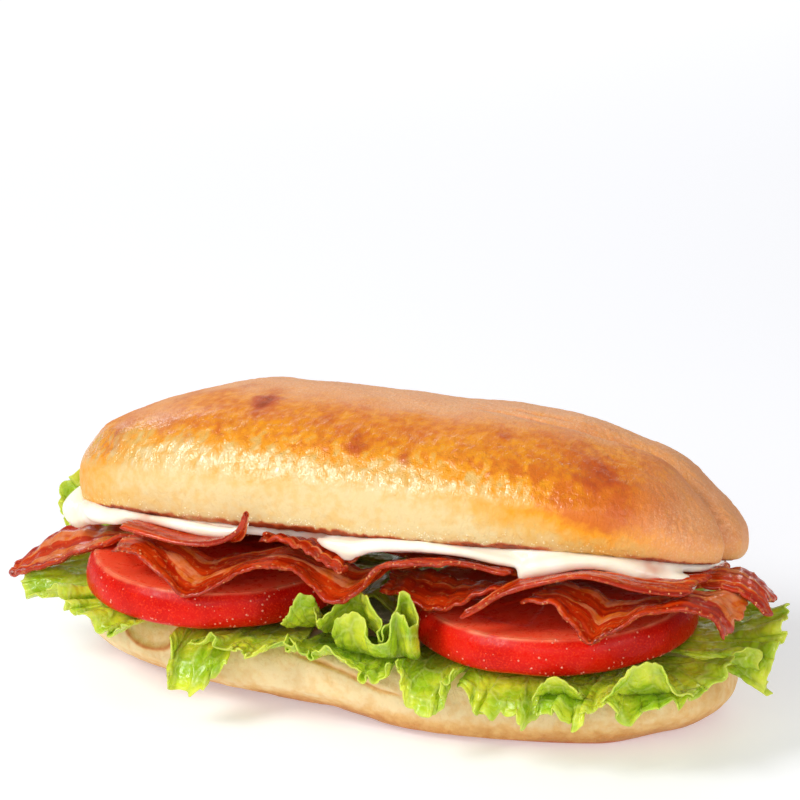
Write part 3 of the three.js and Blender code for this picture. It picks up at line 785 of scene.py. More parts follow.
@dataclass(frozen=True)
class DomeCrust:
    """The relief and the browning of the dome, worked out at each of its points.

    up is the share of the way up the dome, below 0 on the cut face. across is the distance behind the line
    of the seam, and facing is how squarely the crust faces the front. Each spot is a round place where the
    crust is browner: x, y, radius, strength and how many times it is longer across the roll than along.
    """

    x: Array
    y: Array
    z: Array
    up: Array
    across: Array
    facing: Array
    spots: tuple[Five, ...]
    crack_depths: Pairs = ((18, 0.4), (30, 1), (45, 0.5), (52, 0.5), (60, 1), (92, 1))
    rim_toast: Pairs = (
        (-88, 1), (-60, 1), (-52, 0.5), (-42, 0.5), (-36, 0.9), (5, 0.9), (14, 0.35), (22, 0.35),
        (28, 1), (46, 1), (52, 0.15), (68, 0.15), (74, 0.9), (88, 0.9),
    )

    @cached_property
    def dome(self) -> Array:
        """1 above the rim and 0 on the cut face."""
        return step(0.0, 0.05, self.up)

    @cached_property
    def front(self) -> Array:
        """1 where the crust faces the front."""
        return step(0.0, 0.6, self.facing)

    @cached_property
    def left(self) -> Array:
        """Rises to 1 at the left end."""
        return step(-60, -84, self.x)

    @cached_property
    def right(self) -> Array:
        """Rises to 1 towards the right end."""
        return step(20, 75, self.x)

    @cached_property
    def far(self) -> Array:
        """1 on the stretched crust behind the seam."""
        return step(0.2, 3.0, self.across) * step(25, 55, self.x) * step(0.3, 0.6, self.up)

    @cached_property
    def rise(self) -> Array:
        """The share of the way up, made uneven, which the browning follows."""
        x, y, z = self.x, self.y, self.z
        drips = 0.7 * noise(16, x / 6.0, z / 30, y / 30) + 0.4 * noise(18, x / 2.4, z / 16, y / 16)
        rise = self.up + 0.06 * noise(11, x / 13, y / 13, z / 13) + 0.04 * noise(12, x / 4, y / 4, z / 4)
        return rise - 0.1 * drips - 0.05 * self.left + 0.1 * step(10, 40, x) + 0.02

    @cached_property
    def crack(self) -> Array:
        """The crack along the seam, cut into the relief and darkened with painted shade."""
        away = np.abs(self.across + 0.25 * noise(19, self.x / 3))
        crack = np.exp(-away / (0.35 + 0.25 * step(60, 80, self.x))) * step(18, 30, self.x)
        return crack * step(0.2, 0.5, self.up) * np.interp(self.x, *zip(*self.crack_depths))

    @cached_property
    def second_crack(self) -> Array:
        """A shorter and shallower crack behind the seam."""
        crack = np.exp(-np.abs(self.across - 3.4 + 0.4 * noise(20, self.x / 5)) / 0.35)
        return crack * step(24, 32, self.x) * step(52, 42, self.x) * step(0.3, 0.6, self.up)

    @cached_property
    def scorch(self) -> Array:
        """The scorched spots, with ragged edges."""
        x, y = self.x, self.y
        ragged = 0.4 * noise(31, x / 3.0, y / 3.0, self.z / 3.0)
        scorch = np.zeros_like(x)
        for spot_x, spot_y, radius, strength, tall in self.spots:
            away = np.hypot(x - spot_x, (y - spot_y) / tall) / radius
            scorch = np.maximum(scorch, strength * step(1.15, 0.1, away + ragged))
        return scorch * step(0.15, 0.4, self.up)

    def relief(self) -> Array:
        """How far the crust stands out, in wrinkles, blisters and cracks."""
        x, y, z = self.x, self.y, self.z
        shoulder = step(0.28, 0.45, self.up) * step(0.97, 0.8, self.up)
        streak = noise(3, x / 1.3 + 0.4 * noise(9, x / 4, z / 4), z / 3.4, y / 3.4)
        wrinkle = noise(4, x / 1.0, y / 1.4, z / 1.6)
        lines = noise(8, x / 11, y / 0.9, z / 0.9)
        relief = (
            0.3 * noise(1, x / 26, y / 22, z / 22)
            + 0.22 * noise(2, x / 8, y / 7, z / 7) * self.dome
            + 0.24 * streak * shoulder * self.front * (1 - 0.5 * self.right)
            + 0.2 * wrinkle * shoulder * self.front
            + 0.12 * noise(5, x / 1.2, y / 1.2, z / 1.2) * self.dome
            + 0.16 * lines * self.far
            - 0.9 * self.crack
            - 0.4 * self.second_crack
            + 0.3 * self.scorch * (0.5 + 0.8 * noise(6, x / 1.9, y / 1.9))
        )
        return relief * self.dome

    def crumb_relief(self) -> Array:
        """How far the crumb of the cut face stands out."""
        return 0.25 * noise(7, self.x / 1.3, self.y / 1.3) * (1 - self.dome)

    def bake(self) -> Array:
        """How brown the crust is baked, from pale at the rim to amber at the shoulder, with paler flecks in
        the glossy front band as painted highlight.
        """
        x, y, z, up = self.x, self.y, self.z, self.up
        bake = 0.05 + 0.37 * step(0.28, 0.52, self.rise) + 0.45 * step(0.5, 0.72, self.rise)
        bake = bake + 0.42 * self.left * step(0.95, 0.2, up)
        bake = bake + 0.8 * self.right * step(0.9, 0.3, up) * step(-0.25, 0.4, up)
        # Painted highlight: pale flecks along the glossy band at the front, where the lamp's glints fall.
        fleck = step(0.05, 0.5, noise(22, x / 1.3, y / 2.4, z / 2.4))
        fleck = fleck * step(0.3, 0.45, up) * step(0.8, 0.62, up)
        bake = bake - 0.34 * fleck * step(0.1, 0.5, self.facing) * (1 - 0.7 * step(30, 60, x))
        return np.clip(bake, 0, 1)

    def tan(self) -> Array:
        """Where the crust is matt and tan: on its top, behind the seam and at the right and the back."""
        x, y, z, up = self.x, self.y, self.z, self.up
        top = step(0.86, 0.99, up - 0.05 * self.facing + 0.04 * noise(13, x / 7, y / 7))
        top = np.maximum(top, 0.8 * step(-50, -74, x) * step(0.6, 0.8, self.rise))
        tan = np.maximum(top * 0.9, step(62, 86, x + 5 * noise(17, x / 9, y / 9, z / 9)) * 0.75)
        tan = np.maximum(tan, step(0.1, -0.5, self.facing) * step(0.1, 0.4, up) * 0.4)
        return np.maximum(tan, 0.75 * self.far)

    def scorch_and_crack_shade(self) -> Array:
        """The scorched spots with the toasted rim, and painted shade in the cracks."""
        x, y = self.x, self.y
        ragged = 0.012 * noise(15, x / 1.2, y / 1.2) + 0.012 * noise(21, x / 4.5, y / 4.5)
        rim = step(0.06, 0.02, self.up + ragged) * step(-0.05, -0.01, self.up)
        dark = np.maximum(self.scorch * 0.85, rim * np.interp(x, *zip(*self.rim_toast)))
        # The cracks add painted shade to the scorch field.
        return np.clip(np.maximum(dark, 0.85 * self.crack + 0.4 * self.second_crack), 0, 1)

    def gloss(self) -> Array:
        """Where the crust shines: along the shoulder at the front, less so to the right."""
        gloss = step(0.3, 0.45, self.up) * step(0.86, 0.68, self.up) * step(0.0, 0.4, self.facing)
        return gloss * (1 - 0.7 * step(40, 75, self.x))

    def blister(self) -> Array:
        """How densely small blisters stand just above the rim at the front."""
        low = step(0.02, 0.035, self.up) * step(0.2, 0.03, self.up) ** 3
        return low * self.front * step(92, 60, self.x)

    def fields(self) -> dict[str, Array]:
        """The fields that the crust's material and the blisters read."""
        return ring_fields(
            bake=self.bake(),
            tan=self.tan(),
            scorch=self.scorch_and_crack_shade(),
            gloss=self.gloss(),
            crumb=step(-0.012, -0.05, self.up),
            blister=self.blister(),
        )


@dataclass(frozen=True)
class RollHalf:
    """One half of the roll, whose plan is a superellipse."""

    half_length: float
    half_width: float
    squareness: float
    height: float

    def outline(self, angle: Array, inset: Array) -> tuple[Array, Array]:
        """The plan outline, taken in by inset on all sides."""
        power = 2 / self.squareness
        c, s = np.cos(angle), np.sin(angle)
        x = (self.half_length - inset) * np.sign(c) * np.abs(c) ** power
        return x, (self.half_width - inset) * np.sign(s) * np.abs(s) ** power

    def angles(self, count: int, right: float = 0) -> Array:
        """Angles that space points evenly round the outline, and more closely on its open side.

        Args:
            count: How many angles to give.
            right: How much more closely the right end's points lie.

        Returns:
            The angles, from 0 to just under a full turn.
        """
        angle = np.linspace(0, TAU, 40001)
        x, y = self.outline(angle, 0)
        weight = 1 + 1.1 * step(0.25, -0.25, np.sin(angle)) + right * step(0.7, 0.95, np.cos(angle))
        run = np.concatenate([[0], np.cumsum(np.hypot(np.diff(x), np.diff(y)) * weight[1:])])
        return np.interp(np.arange(count) / count * run[-1], run, angle)


@dataclass(frozen=True)
class Crown(RollHalf):
    """The domed upper half, tipped back over the filling.

    The profile's rows are inset and height. The arch, the swells and the front cleft are hills on the cut
    face, the dome and the seam: place along the roll, width and height or depth. The seam swings back at a
    place, by a distance, over a width before and one after that place.
    """

    half_length: float = 92.5
    half_width: float = 40
    squareness: float = 2.7
    height: float = 35
    base_z: float = 45.3
    rise_to_front: float = 0.26
    rise_to_right: float = 0.027
    lean_share: float = 0.9
    upright_share: float = 0.968
    end_droop: float = 2.2
    arch: Station = (58, 30, 1.6)
    right_fall: float = 0.33
    right_fall_run: tuple[float, float] = (14, 66)
    left_taper: float = 0.1
    right_taper: float = 0.14
    end_narrowing: float = 0.0085
    cap_shift: float = 3.5
    swells: tuple[Station, ...] = ((-42, 36, 1.6), (73, 10, 2.4))
    seam_start: float = 12
    seam_y: float = -10.2
    seam_depth: float = 5.5
    seam_width: float = 3.8
    seam_swing: Four = (74, 7.8, 19, 15)
    cleft: float = 2.6
    front_cleft: Station = (33, 13, 0.9)
    lip: float = 0.9
    columns: int = 560
    under_rows: int = 10
    side_rows: int = 112
    cap_rows: int = 46
    profile: Pairs = (
        (3.2, 0), (0.9, 1.6), (-0.6, 6), (-0.9, 11.5), (0.8, 17), (4.6, 22.5),
        (10.5, 27.5), (18.5, 31.4), (23.5, 33), (28, 34), (33, 34.7),
    )
    spots: tuple[Five, ...] = (
        (-35.1, -13.9, 5, 0.95, 1.7), (-34, -20.5, 2.8, 0.5, 1.6), (-4.1, -27.6, 4, 0.8, 1.25),
        (9.8, -31.4, 2.8, 0.7, 1), (-14.6, -19.7, 3.4, 0.5, 1.2), (-8, -15, 3.4, 0.3, 1.2),
        (32.5, -18.9, 3.6, 0.6, 1.2), (60, -23, 9, 0.85, 1), (53, -17, 6, 0.35, 1),
        (66, -30.5, 7, 0.5, 1.3), (78, -20, 8, 0.3, 1), (-44, -3, 4, 0.35, 1.2), (-63, -6, 4.5, 0.3, 1.2),
        (-74, -20, 5, 0.35, 1.4), (-52, -27, 3.2, 0.3, 1.3), (-66, 22, 5, 0.45, 1.3),
        (-30, 31, 4.5, 0.5, 1.4), (-6, 24, 3.5, 0.35, 1.2), (24, 33, 5.5, 0.5, 1.3), (50, 22, 4, 0.4, 1.2),
        (72, 28, 5, 0.4, 1.2),
    )

    def cut_face(self, x: Array, y: Array) -> Array:
        """The height of the cut face over a point of the plan."""
        at, width, lift = self.arch
        sag = self.end_droop * np.abs(x / self.half_length) ** 3
        rise = self.rise_to_right * x - self.rise_to_front * y
        return self.base_z + rise - sag + lift * hill(x, at, width)

    def seam(self, x: Array, y: Array) -> Array:
        """How deep the fold of the rolled dough cuts in, with a sharp cleft in its middle."""
        run = np.clip((x - self.seam_start) / (self.half_length - self.seam_start), 0, 1)
        across = (y - self.seam_line(x)) / self.seam_width
        at, width, depth = self.front_cleft
        crack = depth * hill(x, at, width) + self.cleft * step(0.38, 0.75, run)
        cleft = crack * np.exp(-np.abs(across) / 0.14)
        lip = self.lip * step(0.25, 0.8, run) * hill(across, -0.85, 0.55)
        return self.seam_depth * run**1.2 * hill(across, 0, 1) + cleft - lip

    def seam_line(self, x: Array) -> Array:
        """The seam's place across the roll, which swings towards the back near the right end."""
        at, by, before, after = self.seam_swing
        return self.seam_y + by * hill(x, at, np.where(x < at, before, after))

    def tipped(self, x: Array, y: Array, z: Array, angle: Array) -> Array:
        """Tips points of the dome back, with the seam pressed in."""
        share = np.clip(z / self.height, 0, 1)
        groove = self.seam(x, y)
        inward = 1 - groove / self.half_length * np.clip(1.4 - share, 0, 1)
        lump = 1 + 0.012 * share * drift(angle / TAU + share, 5)
        px, py = x * inward * lump, y * lump
        start, run = self.right_fall_run
        fall = 1 - self.right_fall * np.clip((x - start) / run, 0, 1) ** 2
        rise = 0.5 * drift(x / 90, 2)
        for at, width, swell in self.swells:
            rise = rise + swell * hill(x, at, width)
        height = z * fall - groove * share * 0.8 + rise * share
        lean = height * self.rise_to_front
        face = self.cut_face(px, py)
        return np.stack([px, py + lean * self.lean_share, face + height * self.upright_share], -1)

    def rings(self) -> tuple[Array, Array, Array]:
        """The dome's rings from the middle of its cut face to near its top.

        Returns:
            The points, of shape (rings, columns, 3), their places in the untipped plan, and each ring's
            share of the way up the dome, which is below 0 on the cut face.
        """
        angle = self.angles(self.columns, right=1.5)
        rows = []
        plans = []
        heights = []

        def row(inset: float, z: float, shrink: float, height: float) -> None:
            x, y = self.outline(angle, inset)
            x = x * (1 - self.end_narrowing * max(0.0, inset - 4))
            x = x + lerp(self.left_taper, -self.right_taper, np.clip(x / 85, 0, 1) ** 2) * z
            centre = self.cap_shift * (1 - shrink) if z > 1 else 0.0
            x, y = x * shrink + centre, y * shrink
            plans.append(np.stack([x, y], -1))
            rows.append(self.tipped(x, y, np.full_like(x, z), angle))
            heights.append(height)

        for shrink in np.linspace(0.06, 0.985, self.under_rows):
            row(self.profile[0][0], 0.0, shrink, shrink - 1.0)
        for inset, z, _ in profile_points(self.profile, self.side_rows):
            row(inset, z, 1.0, z / self.height)
        last_inset, last_z = self.profile[-1]
        for shrink in 1 - np.linspace(0.02, 0.97, self.cap_rows):
            row(last_inset, lerp(self.height, last_z, shrink**2), shrink, 1.0)
        return np.stack(rows), np.stack(plans), np.array(heights)

    def build(self, finish: Material) -> Object:
        """Builds the dome, with its wrinkles, blisters and browning.

        Args:
            finish: The crust.

        Returns:
            The piece.
        """
        points, plan, heights = self.rings()
        normals = ring_normals(points)
        crust = DomeCrust(
            *split(points),
            up=np.broadcast_to(heights[:, None], points.shape[:2]),
            across=plan[..., 1] - self.seam_line(plan[..., 0]),
            facing=-normals[..., 1],
            spots=self.spots,
        )
        points = points + normals * crust.relief()[..., None]
        points = points + normals * crust.crumb_relief()[..., None]
        return make_object(
            "crown_crust",
            ring_points(points, np.array([0, 0, self.cut_face(0.0, 0.0)]), points[-1].mean(0)),
            ring_faces(*points.shape[:2]),
            crust.fields(),
            finish=finish,
        )


@dataclass(frozen=True)
class Heel(RollHalf):
    """The flat lower half, pale and floury, with a folded crease and a dent in its front side.

    A tuck is how far the foot draws in and the places where that starts, is full, fades and ends. The
    crease's rows are x and z, and the dent is x, z, half its width and half its height.
    """

    half_length: float = 91
    half_width: float = 40
    squareness: float = 2.35
    height: float = 20.5
    columns: int = 480
    under_rows: int = 12
    side_rows: int = 84
    top_rows: int = 34
    middle_x: float = 0.5
    profile: Pairs = ((8, 0), (3.4, 2.6), (0.6, 7.5), (0, 13), (1, 18), (3, 20.5))
    tuck_height: float = 10
    left_tuck: tuple[float, ...] = (9.8, -94, -76, -18, 14)
    right_tuck: Station = (5, 60, 82)
    crease: Pairs = ((-20, 20), (-11, 18.6), (-4, 17), (6, 13.6), (14, 12.4))
    dent: Four = (-63.5, 19.5, 9.5, 7.0)

    def tuck(self, x: Array, y: Array, z: float) -> Array:
        """How much further in the side lies near its foot, at a point of the plan outline."""
        by, start, full, fade, end = self.left_tuck
        along = by * step(start, full, x) * step(end, fade, x)
        by, start, full = self.right_tuck
        along = along + by * step(start, full, x)
        return along * step(15, -15, y) * max(0.0, 1 - z / self.tuck_height) ** 1.2

    def rings(self) -> tuple[Array, Array]:
        """The rings from the middle of the underside to the middle of the cut face.

        Returns:
            The points, of shape (rings, columns, 3), and at each 0 on the underside, 1 on the side and 2 on
            the cut face.
        """
        angle = self.angles(self.columns)
        first, last = self.profile[0][0], self.profile[-1][0]
        steps = [(first, 0.0, share, 0.0) for share in np.linspace(0.1, 0.98, self.under_rows)]
        for inset, z, _ in profile_points(self.profile, self.side_rows):
            steps.append((inset, max(z, 0.0), 1.0, 1.0))
        steps += [(last, self.height, share, 2.0) for share in np.linspace(0.99, 0.05, self.top_rows)]
        rows = []
        for inset, z, shrink, _ in steps:
            tuck = self.tuck(*self.outline(angle, inset), z)
            x, y = self.outline(angle, inset + tuck)
            swell = 1 + 0.012 * drift(angle / TAU, 3) * np.clip(z / 5, 0, 1)
            x, y = x * swell * shrink + self.middle_x, y * swell * shrink
            rows.append(np.stack([x, y, np.full_like(x, z)], -1))
        points = np.stack(rows)
        return points, np.broadcast_to(np.array([s[3] for s in steps])[:, None], points.shape[:2])

    def folds(self, x: Array, y: Array, z: Array) -> tuple[Array, Array, Array, Array]:
        """How strongly each point lies in the crease, on its lip, in the dent and on the dent's rim."""
        front = step(0.1, -0.6, y / self.half_width)
        along = step(-22, -15, x) * step(15, 8, x)
        below = z - np.interp(x, *zip(*self.crease))
        crease = hill(below, 0, 0.55) * along * front
        lip = hill(below, 1.6, 1.4) * along * front
        at_x, at_z, wide, tall = self.dent
        away = np.hypot((x - at_x) / wide, (z - at_z) / tall) + 0.06 * noise(41, x / 3, z / 3)
        return crease, lip, step(1.0, 0.75, away) * front, hill(away, 1.0, 0.09) * front * step(20, 17.5, z)

    def build(self, finish: Material) -> Object:
        """Builds the lower half.

        Args:
            finish: The crust.

        Returns:
            The piece.
        """
        points, part = self.rings()
        normals = ring_normals(points)
        x, y, z = split(points)
        on_side = (part == 1) * step(0.4, 3.0, z)
        top = step(1.5, 2.0, part)
        crease, lip, dent, dent_rim = self.folds(x, y, z)
        relief = (
            0.5 * noise(21, x / 18, y / 18, z / 9)
            + 0.22 * noise(22, x / 5, y / 5, z / 3)
            + 0.07 * noise(23, x / 1.2, y / 1.2, z / 1.0)
            - 0.9 * crease
            + 0.5 * lip
            - 0.9 * dent
            + 0.25 * dent_rim
        )
        points = points + normals * (relief * on_side)[..., None]
        pores = 0.35 * noise(24, x / 2.0, y / 2.0) + 0.2 * noise(25, x / 0.9, y / 0.9)
        points = points + normals * (pores * top)[..., None]

        cloud = noise(26, x / 16, y / 16, z / 8)
        low = step(10.5, 0.5, z + 1.0 * noise(27, x / 7, y / 7) + 0.5 * noise(28, x / 1.6, y / 1.6))
        right = step(45, 88, x)
        bake = 0.05 + 0.05 * cloud + 0.72 * low + 0.2 * right + 0.4 * crease + 0.5 * dent_rim
        bake = bake + 0.12 * dent + 0.22 * step(-60, -20, x) * step(25, -10, x) * step(12, 3, z)
        scorch = 0.6 * step(3.0, 0.2, z + 0.7 * noise(29, x / 2.2, y / 2.2)) + 0.35 * dent_rim
        return make_object(
            "heel_crust",
            ring_points(points, np.array([self.middle_x, 0, 0]), np.array([self.middle_x, 0, self.height])),
            ring_faces(*points.shape[:2]),
            ring_fields(
                bake=np.clip(bake, 0, 1),
                tan=0.3 * low + 0.15 * right,
                scorch=np.clip(scorch, 0, 1),
                gloss=np.zeros_like(x),
                crumb=top,
            ),
            finish=finish,
        )


# ---------------------------- tomato


@dataclass(frozen=True)
class TomatoSlice:
    """A thick slice with a bulging skin edge and two cut faces."""

    name: str
    node: str
    x: float
    y: float
    z: float
    radius: float
    to_right: float
    seed: int
    to_front: float = 0.02
    thickness: float = 10
    columns: int = 400
    under_rows: int = 14
    side_rows: int = 44
    top_rows: int = 40
    profile: Pairs = ((-2.2, 0), (-0.5, 1.2), (0, 3.6), (-0.8, 7.4), (-2.6, 10))

    def build(self, finish: Material) -> Object:
        """Builds the slice.

        Args:
            finish: The tomato's skin and flesh.

        Returns:
            The piece.
        """
        angle = TAU * np.arange(self.columns) / self.columns
        low, high = self.profile[0], self.profile[-1]
        steps = [(*low, s, 1.0) for s in np.linspace(0.1, 0.985, self.under_rows)]
        steps += [(out, z, 1.0, 0.0) for out, z, _ in profile_points(self.profile, self.side_rows)]
        steps += [(*high, s, 1.0) for s in 1 - np.linspace(0.008, 0.95, self.top_rows) ** 1.3]
        out, height, share, cut = (np.array(column)[:, None] for column in zip(*steps))
        cut = np.broadcast_to(cut, (len(steps), self.columns))
        r = (self.radius + out) * (1 + 0.012 * drift(angle / TAU, self.seed)) * share
        px, py = r * np.cos(angle), r * np.sin(angle)
        lobes = 5 + self.seed % 2
        walls = np.cos(lobes * angle + 0.5 * np.sin(3 * angle))
        gel = step(0.78, 0.68, share) * step(0.22, 0.32, share) * step(0.75, 0.35, walls)
        sink = (cut * (height > 5)) * (0.5 * gel + 0.06 * noise(self.seed + 3, px / 1.5, py / 1.5))
        pz = height - sink + 0.12 * noise(self.seed, px / 7, py / 7) * (1 - cut)
        points = np.stack(
            [self.x + px, self.y + py, self.z + pz - self.to_front * py + self.to_right * px], -1
        )
        normals = ring_normals(points)
        swell = 0.16 * noise(self.seed + 5, px / 9, py / 9, pz / 5) * (1 - cut)
        points = points + normals * swell[..., None]
        # The rim field: a pale line along the cut edge, partly a painted highlight.
        rim = hill(height, 9.75, 0.35) * (1 - cut)
        rim = rim + cut * step(0.955, 0.985, share) * (height > 5) * 0.8
        rim = np.clip(rim * (0.5 + 0.5 * noise(self.seed + 7, px / 3, py / 3)), 0, 1)
        wall = cut * step(0.7, 0.93, share) * (0.8 + 0.2 * noise(self.seed + 8, px / 4, py / 4))
        wet = step(-0.1, 0.5, noise(self.seed + 9, px / 9, py / 9, pz / 5) + 0.3 * step(4, 0.5, height))
        dew = (1 - cut) * step(0.3, 1.2, height) * (0.15 + 0.85 * wet)
        middle = np.array([self.x, self.y, self.z])
        return make_object(
            self.name,
            ring_points(points, middle, middle + np.array([0, 0, self.thickness])),
            ring_faces(*r.shape),
            ring_fields(cut=cut, wall=wall, rim=rim, dew=dew),
            finish=finish,
        )


TOMATO = (
    TomatoSlice(
        "tomato_left", "tomato_slice_left", x=-50.8, y=-11, z=25.6, radius=36, to_right=0, seed=1
    ),
    TomatoSlice(
        "tomato_right", "tomato_slice_right", x=44.5, y=-9.5, z=25.4, radius=38, to_right=0.045, seed=4
    ),
)


# ---------------------------- bacon


@dataclass(frozen=True)
class BaconStrip:
    """A wavy fried strip, given by the crests and troughs of its outer edge.

    Its inner edge is given too, or runs the strip's width behind, slid along, with the waves flattened
    towards the level that it lies on. A streak of fat is a share of the way across and half its width.
    """

    name: str
    node: str
    seed: int
    edge: tuple[Station, ...]
    inner: tuple[Station, ...] = ()
    width: float = 15
    slide: float = 0
    level: float = 0
    keep: float = 0
    crease: float = 0
    pinch_start: float = 0
    pinch_end: float = 0
    streaks: Pairs = ((0.5, 1.2),)
    fat_end: float = 2.0
    calm: float = 0.0
    buckle: float = 0.35
    half_thickness: float = 0.95
    spacing: float = 0.38

    def middle(self, u: Array, v: Array) -> Array:
        """The middle surface; u runs along the strip and v from its outer to its inner edge."""
        p = Rail(self.edge).at(u)
        if self.inner:
            q = Rail(self.inner).at(u)
        else:
            pinch = self.pinch_start * smooth(1 - u / 0.45) + self.pinch_end * smooth((u - 0.45) / 0.55)
            z = lerp(self.level, p[..., 2], lerp(self.keep, 1, pinch))
            q = np.stack([p[..., 0] + self.slide, p[..., 1] + self.width * (1 - pinch), z], -1)
        made = lerp(p, q, v[..., None])
        buckle = self.crease * 4 * v * (1 - v)
        buckle = buckle + self.buckle * (1 - self.calm) * np.sin(TAU * (7 * u + 0.4 * v))
        made[..., 2] = lerp(p[..., 2], q[..., 2], smooth(v)) + buckle
        return made

    def fattiness(self, s: Array, w: Array, u: Array, v: Array) -> Array:
        """1 in the streaks of fat and 0 in the lean, at lengths s along and w across the strip."""
        seed = 40 + 10 * self.seed
        fat = np.zeros_like(w)
        for k, (share, half_width) in enumerate(self.streaks):
            at = share * abs(self.width) + 1.6 * noise(seed + k, s / 17)
            at = at + 0.5 * noise(seed + 2 + k, s / 4.5)
            size = half_width * (0.85 + 0.75 * noise(seed + 15 + k, s / 12))
            fat = np.maximum(fat, step(1.25, 0.6, np.abs(w - at) / np.maximum(size, 0.2)))
        ended = step(self.fat_end, self.fat_end + 0.12, u + 0.05 * noise(seed + 18, w / 3))
        return np.maximum(fat, ended * step(0.3, 0.42, v + 0.1 * noise(seed + 19, s / 5)))

    def build(self, finish: Material) -> Object:
        """Builds the strip, with fat in raised streaks, ragged edges and shrunken lean.

        Args:
            finish: The bacon.

        Returns:
            The piece.
        """
        rail = Rail(self.edge)
        width = abs(self.width)
        u = np.linspace(0, 1, max(60, round(rail.length / self.spacing)))[:, None]
        v = np.linspace(0, 1, max(20, round(width / self.spacing)))[None, :]
        u, v = np.broadcast_arrays(u, v)
        s = rail.run(u)
        w = v * width
        points = self.middle(u, v)

        seed = 40 + 10 * self.seed
        fat = self.fattiness(s, w, u, v)
        from_edge = np.minimum(w, width - w)
        from_end = np.minimum(s, rail.length - s)
        inward = unit(points[:, -1:] - points[:, :1])
        along = unit(np.gradient(points, axis=0))
        shift = sum(
            (0.5 * noise(seed + k, s / 4.1) + 0.26 * noise(seed + k + 1, s / 0.95)) * reach**5
            for k, reach in ((3, 1 - v), (5, v))
        )
        lively = 1 - self.calm
        points = points + inward * (shift * lively)[..., None]
        torn = 1.2 * noise(seed + 7, w / 2.4) + 0.6 * noise(seed + 8, w / 0.95)
        points = points + along * (torn * step(5.0, 0.0, from_end))[..., None]
        patch = step(-0.5, 0.6, noise(seed + 20, s / 9, w / 9))
        crinkle = 0.36 * noise(seed + 9, s / 3.3, w / 5) + 0.2 * noise(seed + 21, s / 1.3, w / 2.2)
        crinkle = crinkle * patch * (0.35 + 0.65 * step(6.0, 0.0, from_edge))
        crinkle = crinkle + 0.6 * noise(seed + 10, s / 6.5, w / 5)
        points = points + grid_normals(points) * (crinkle * lively)[..., None]

        fibre = noise(seed + 11, s / 5.5, w / 0.8)
        lumps = noise(seed + 12, s / 1.5, w / 1.1)
        half = self.half_thickness * (0.7 + 0.3 * fat + 0.1 * fibre + 0.12 * lumps)
        edges, ends = (np.sqrt(1 - (1 - np.clip(away, 0.06, 1)) ** 2) for away in (from_edge, from_end))
        vertices, faces = sheet(points, half * edges * ends)
        crisp = step(1.5, 0.2, np.minimum(from_edge, from_end) + 0.6 * noise(seed + 13, s / 1.5, w / 1.5))
        crisp = crisp * (0.55 + 0.45 * noise(seed + 14, s / 6)) * (1 - 0.5 * self.calm)
        uv = np.stack([s, w + 40 * self.seed], -1).reshape(-1, 2)
        return make_object(
            self.name,
            vertices,
            faces,
            sheet_fields(fat=fat, crisp=np.clip(crisp, 0, 1)),
            np.concatenate([uv, uv + (0, 1000)]),
            finish,
        )


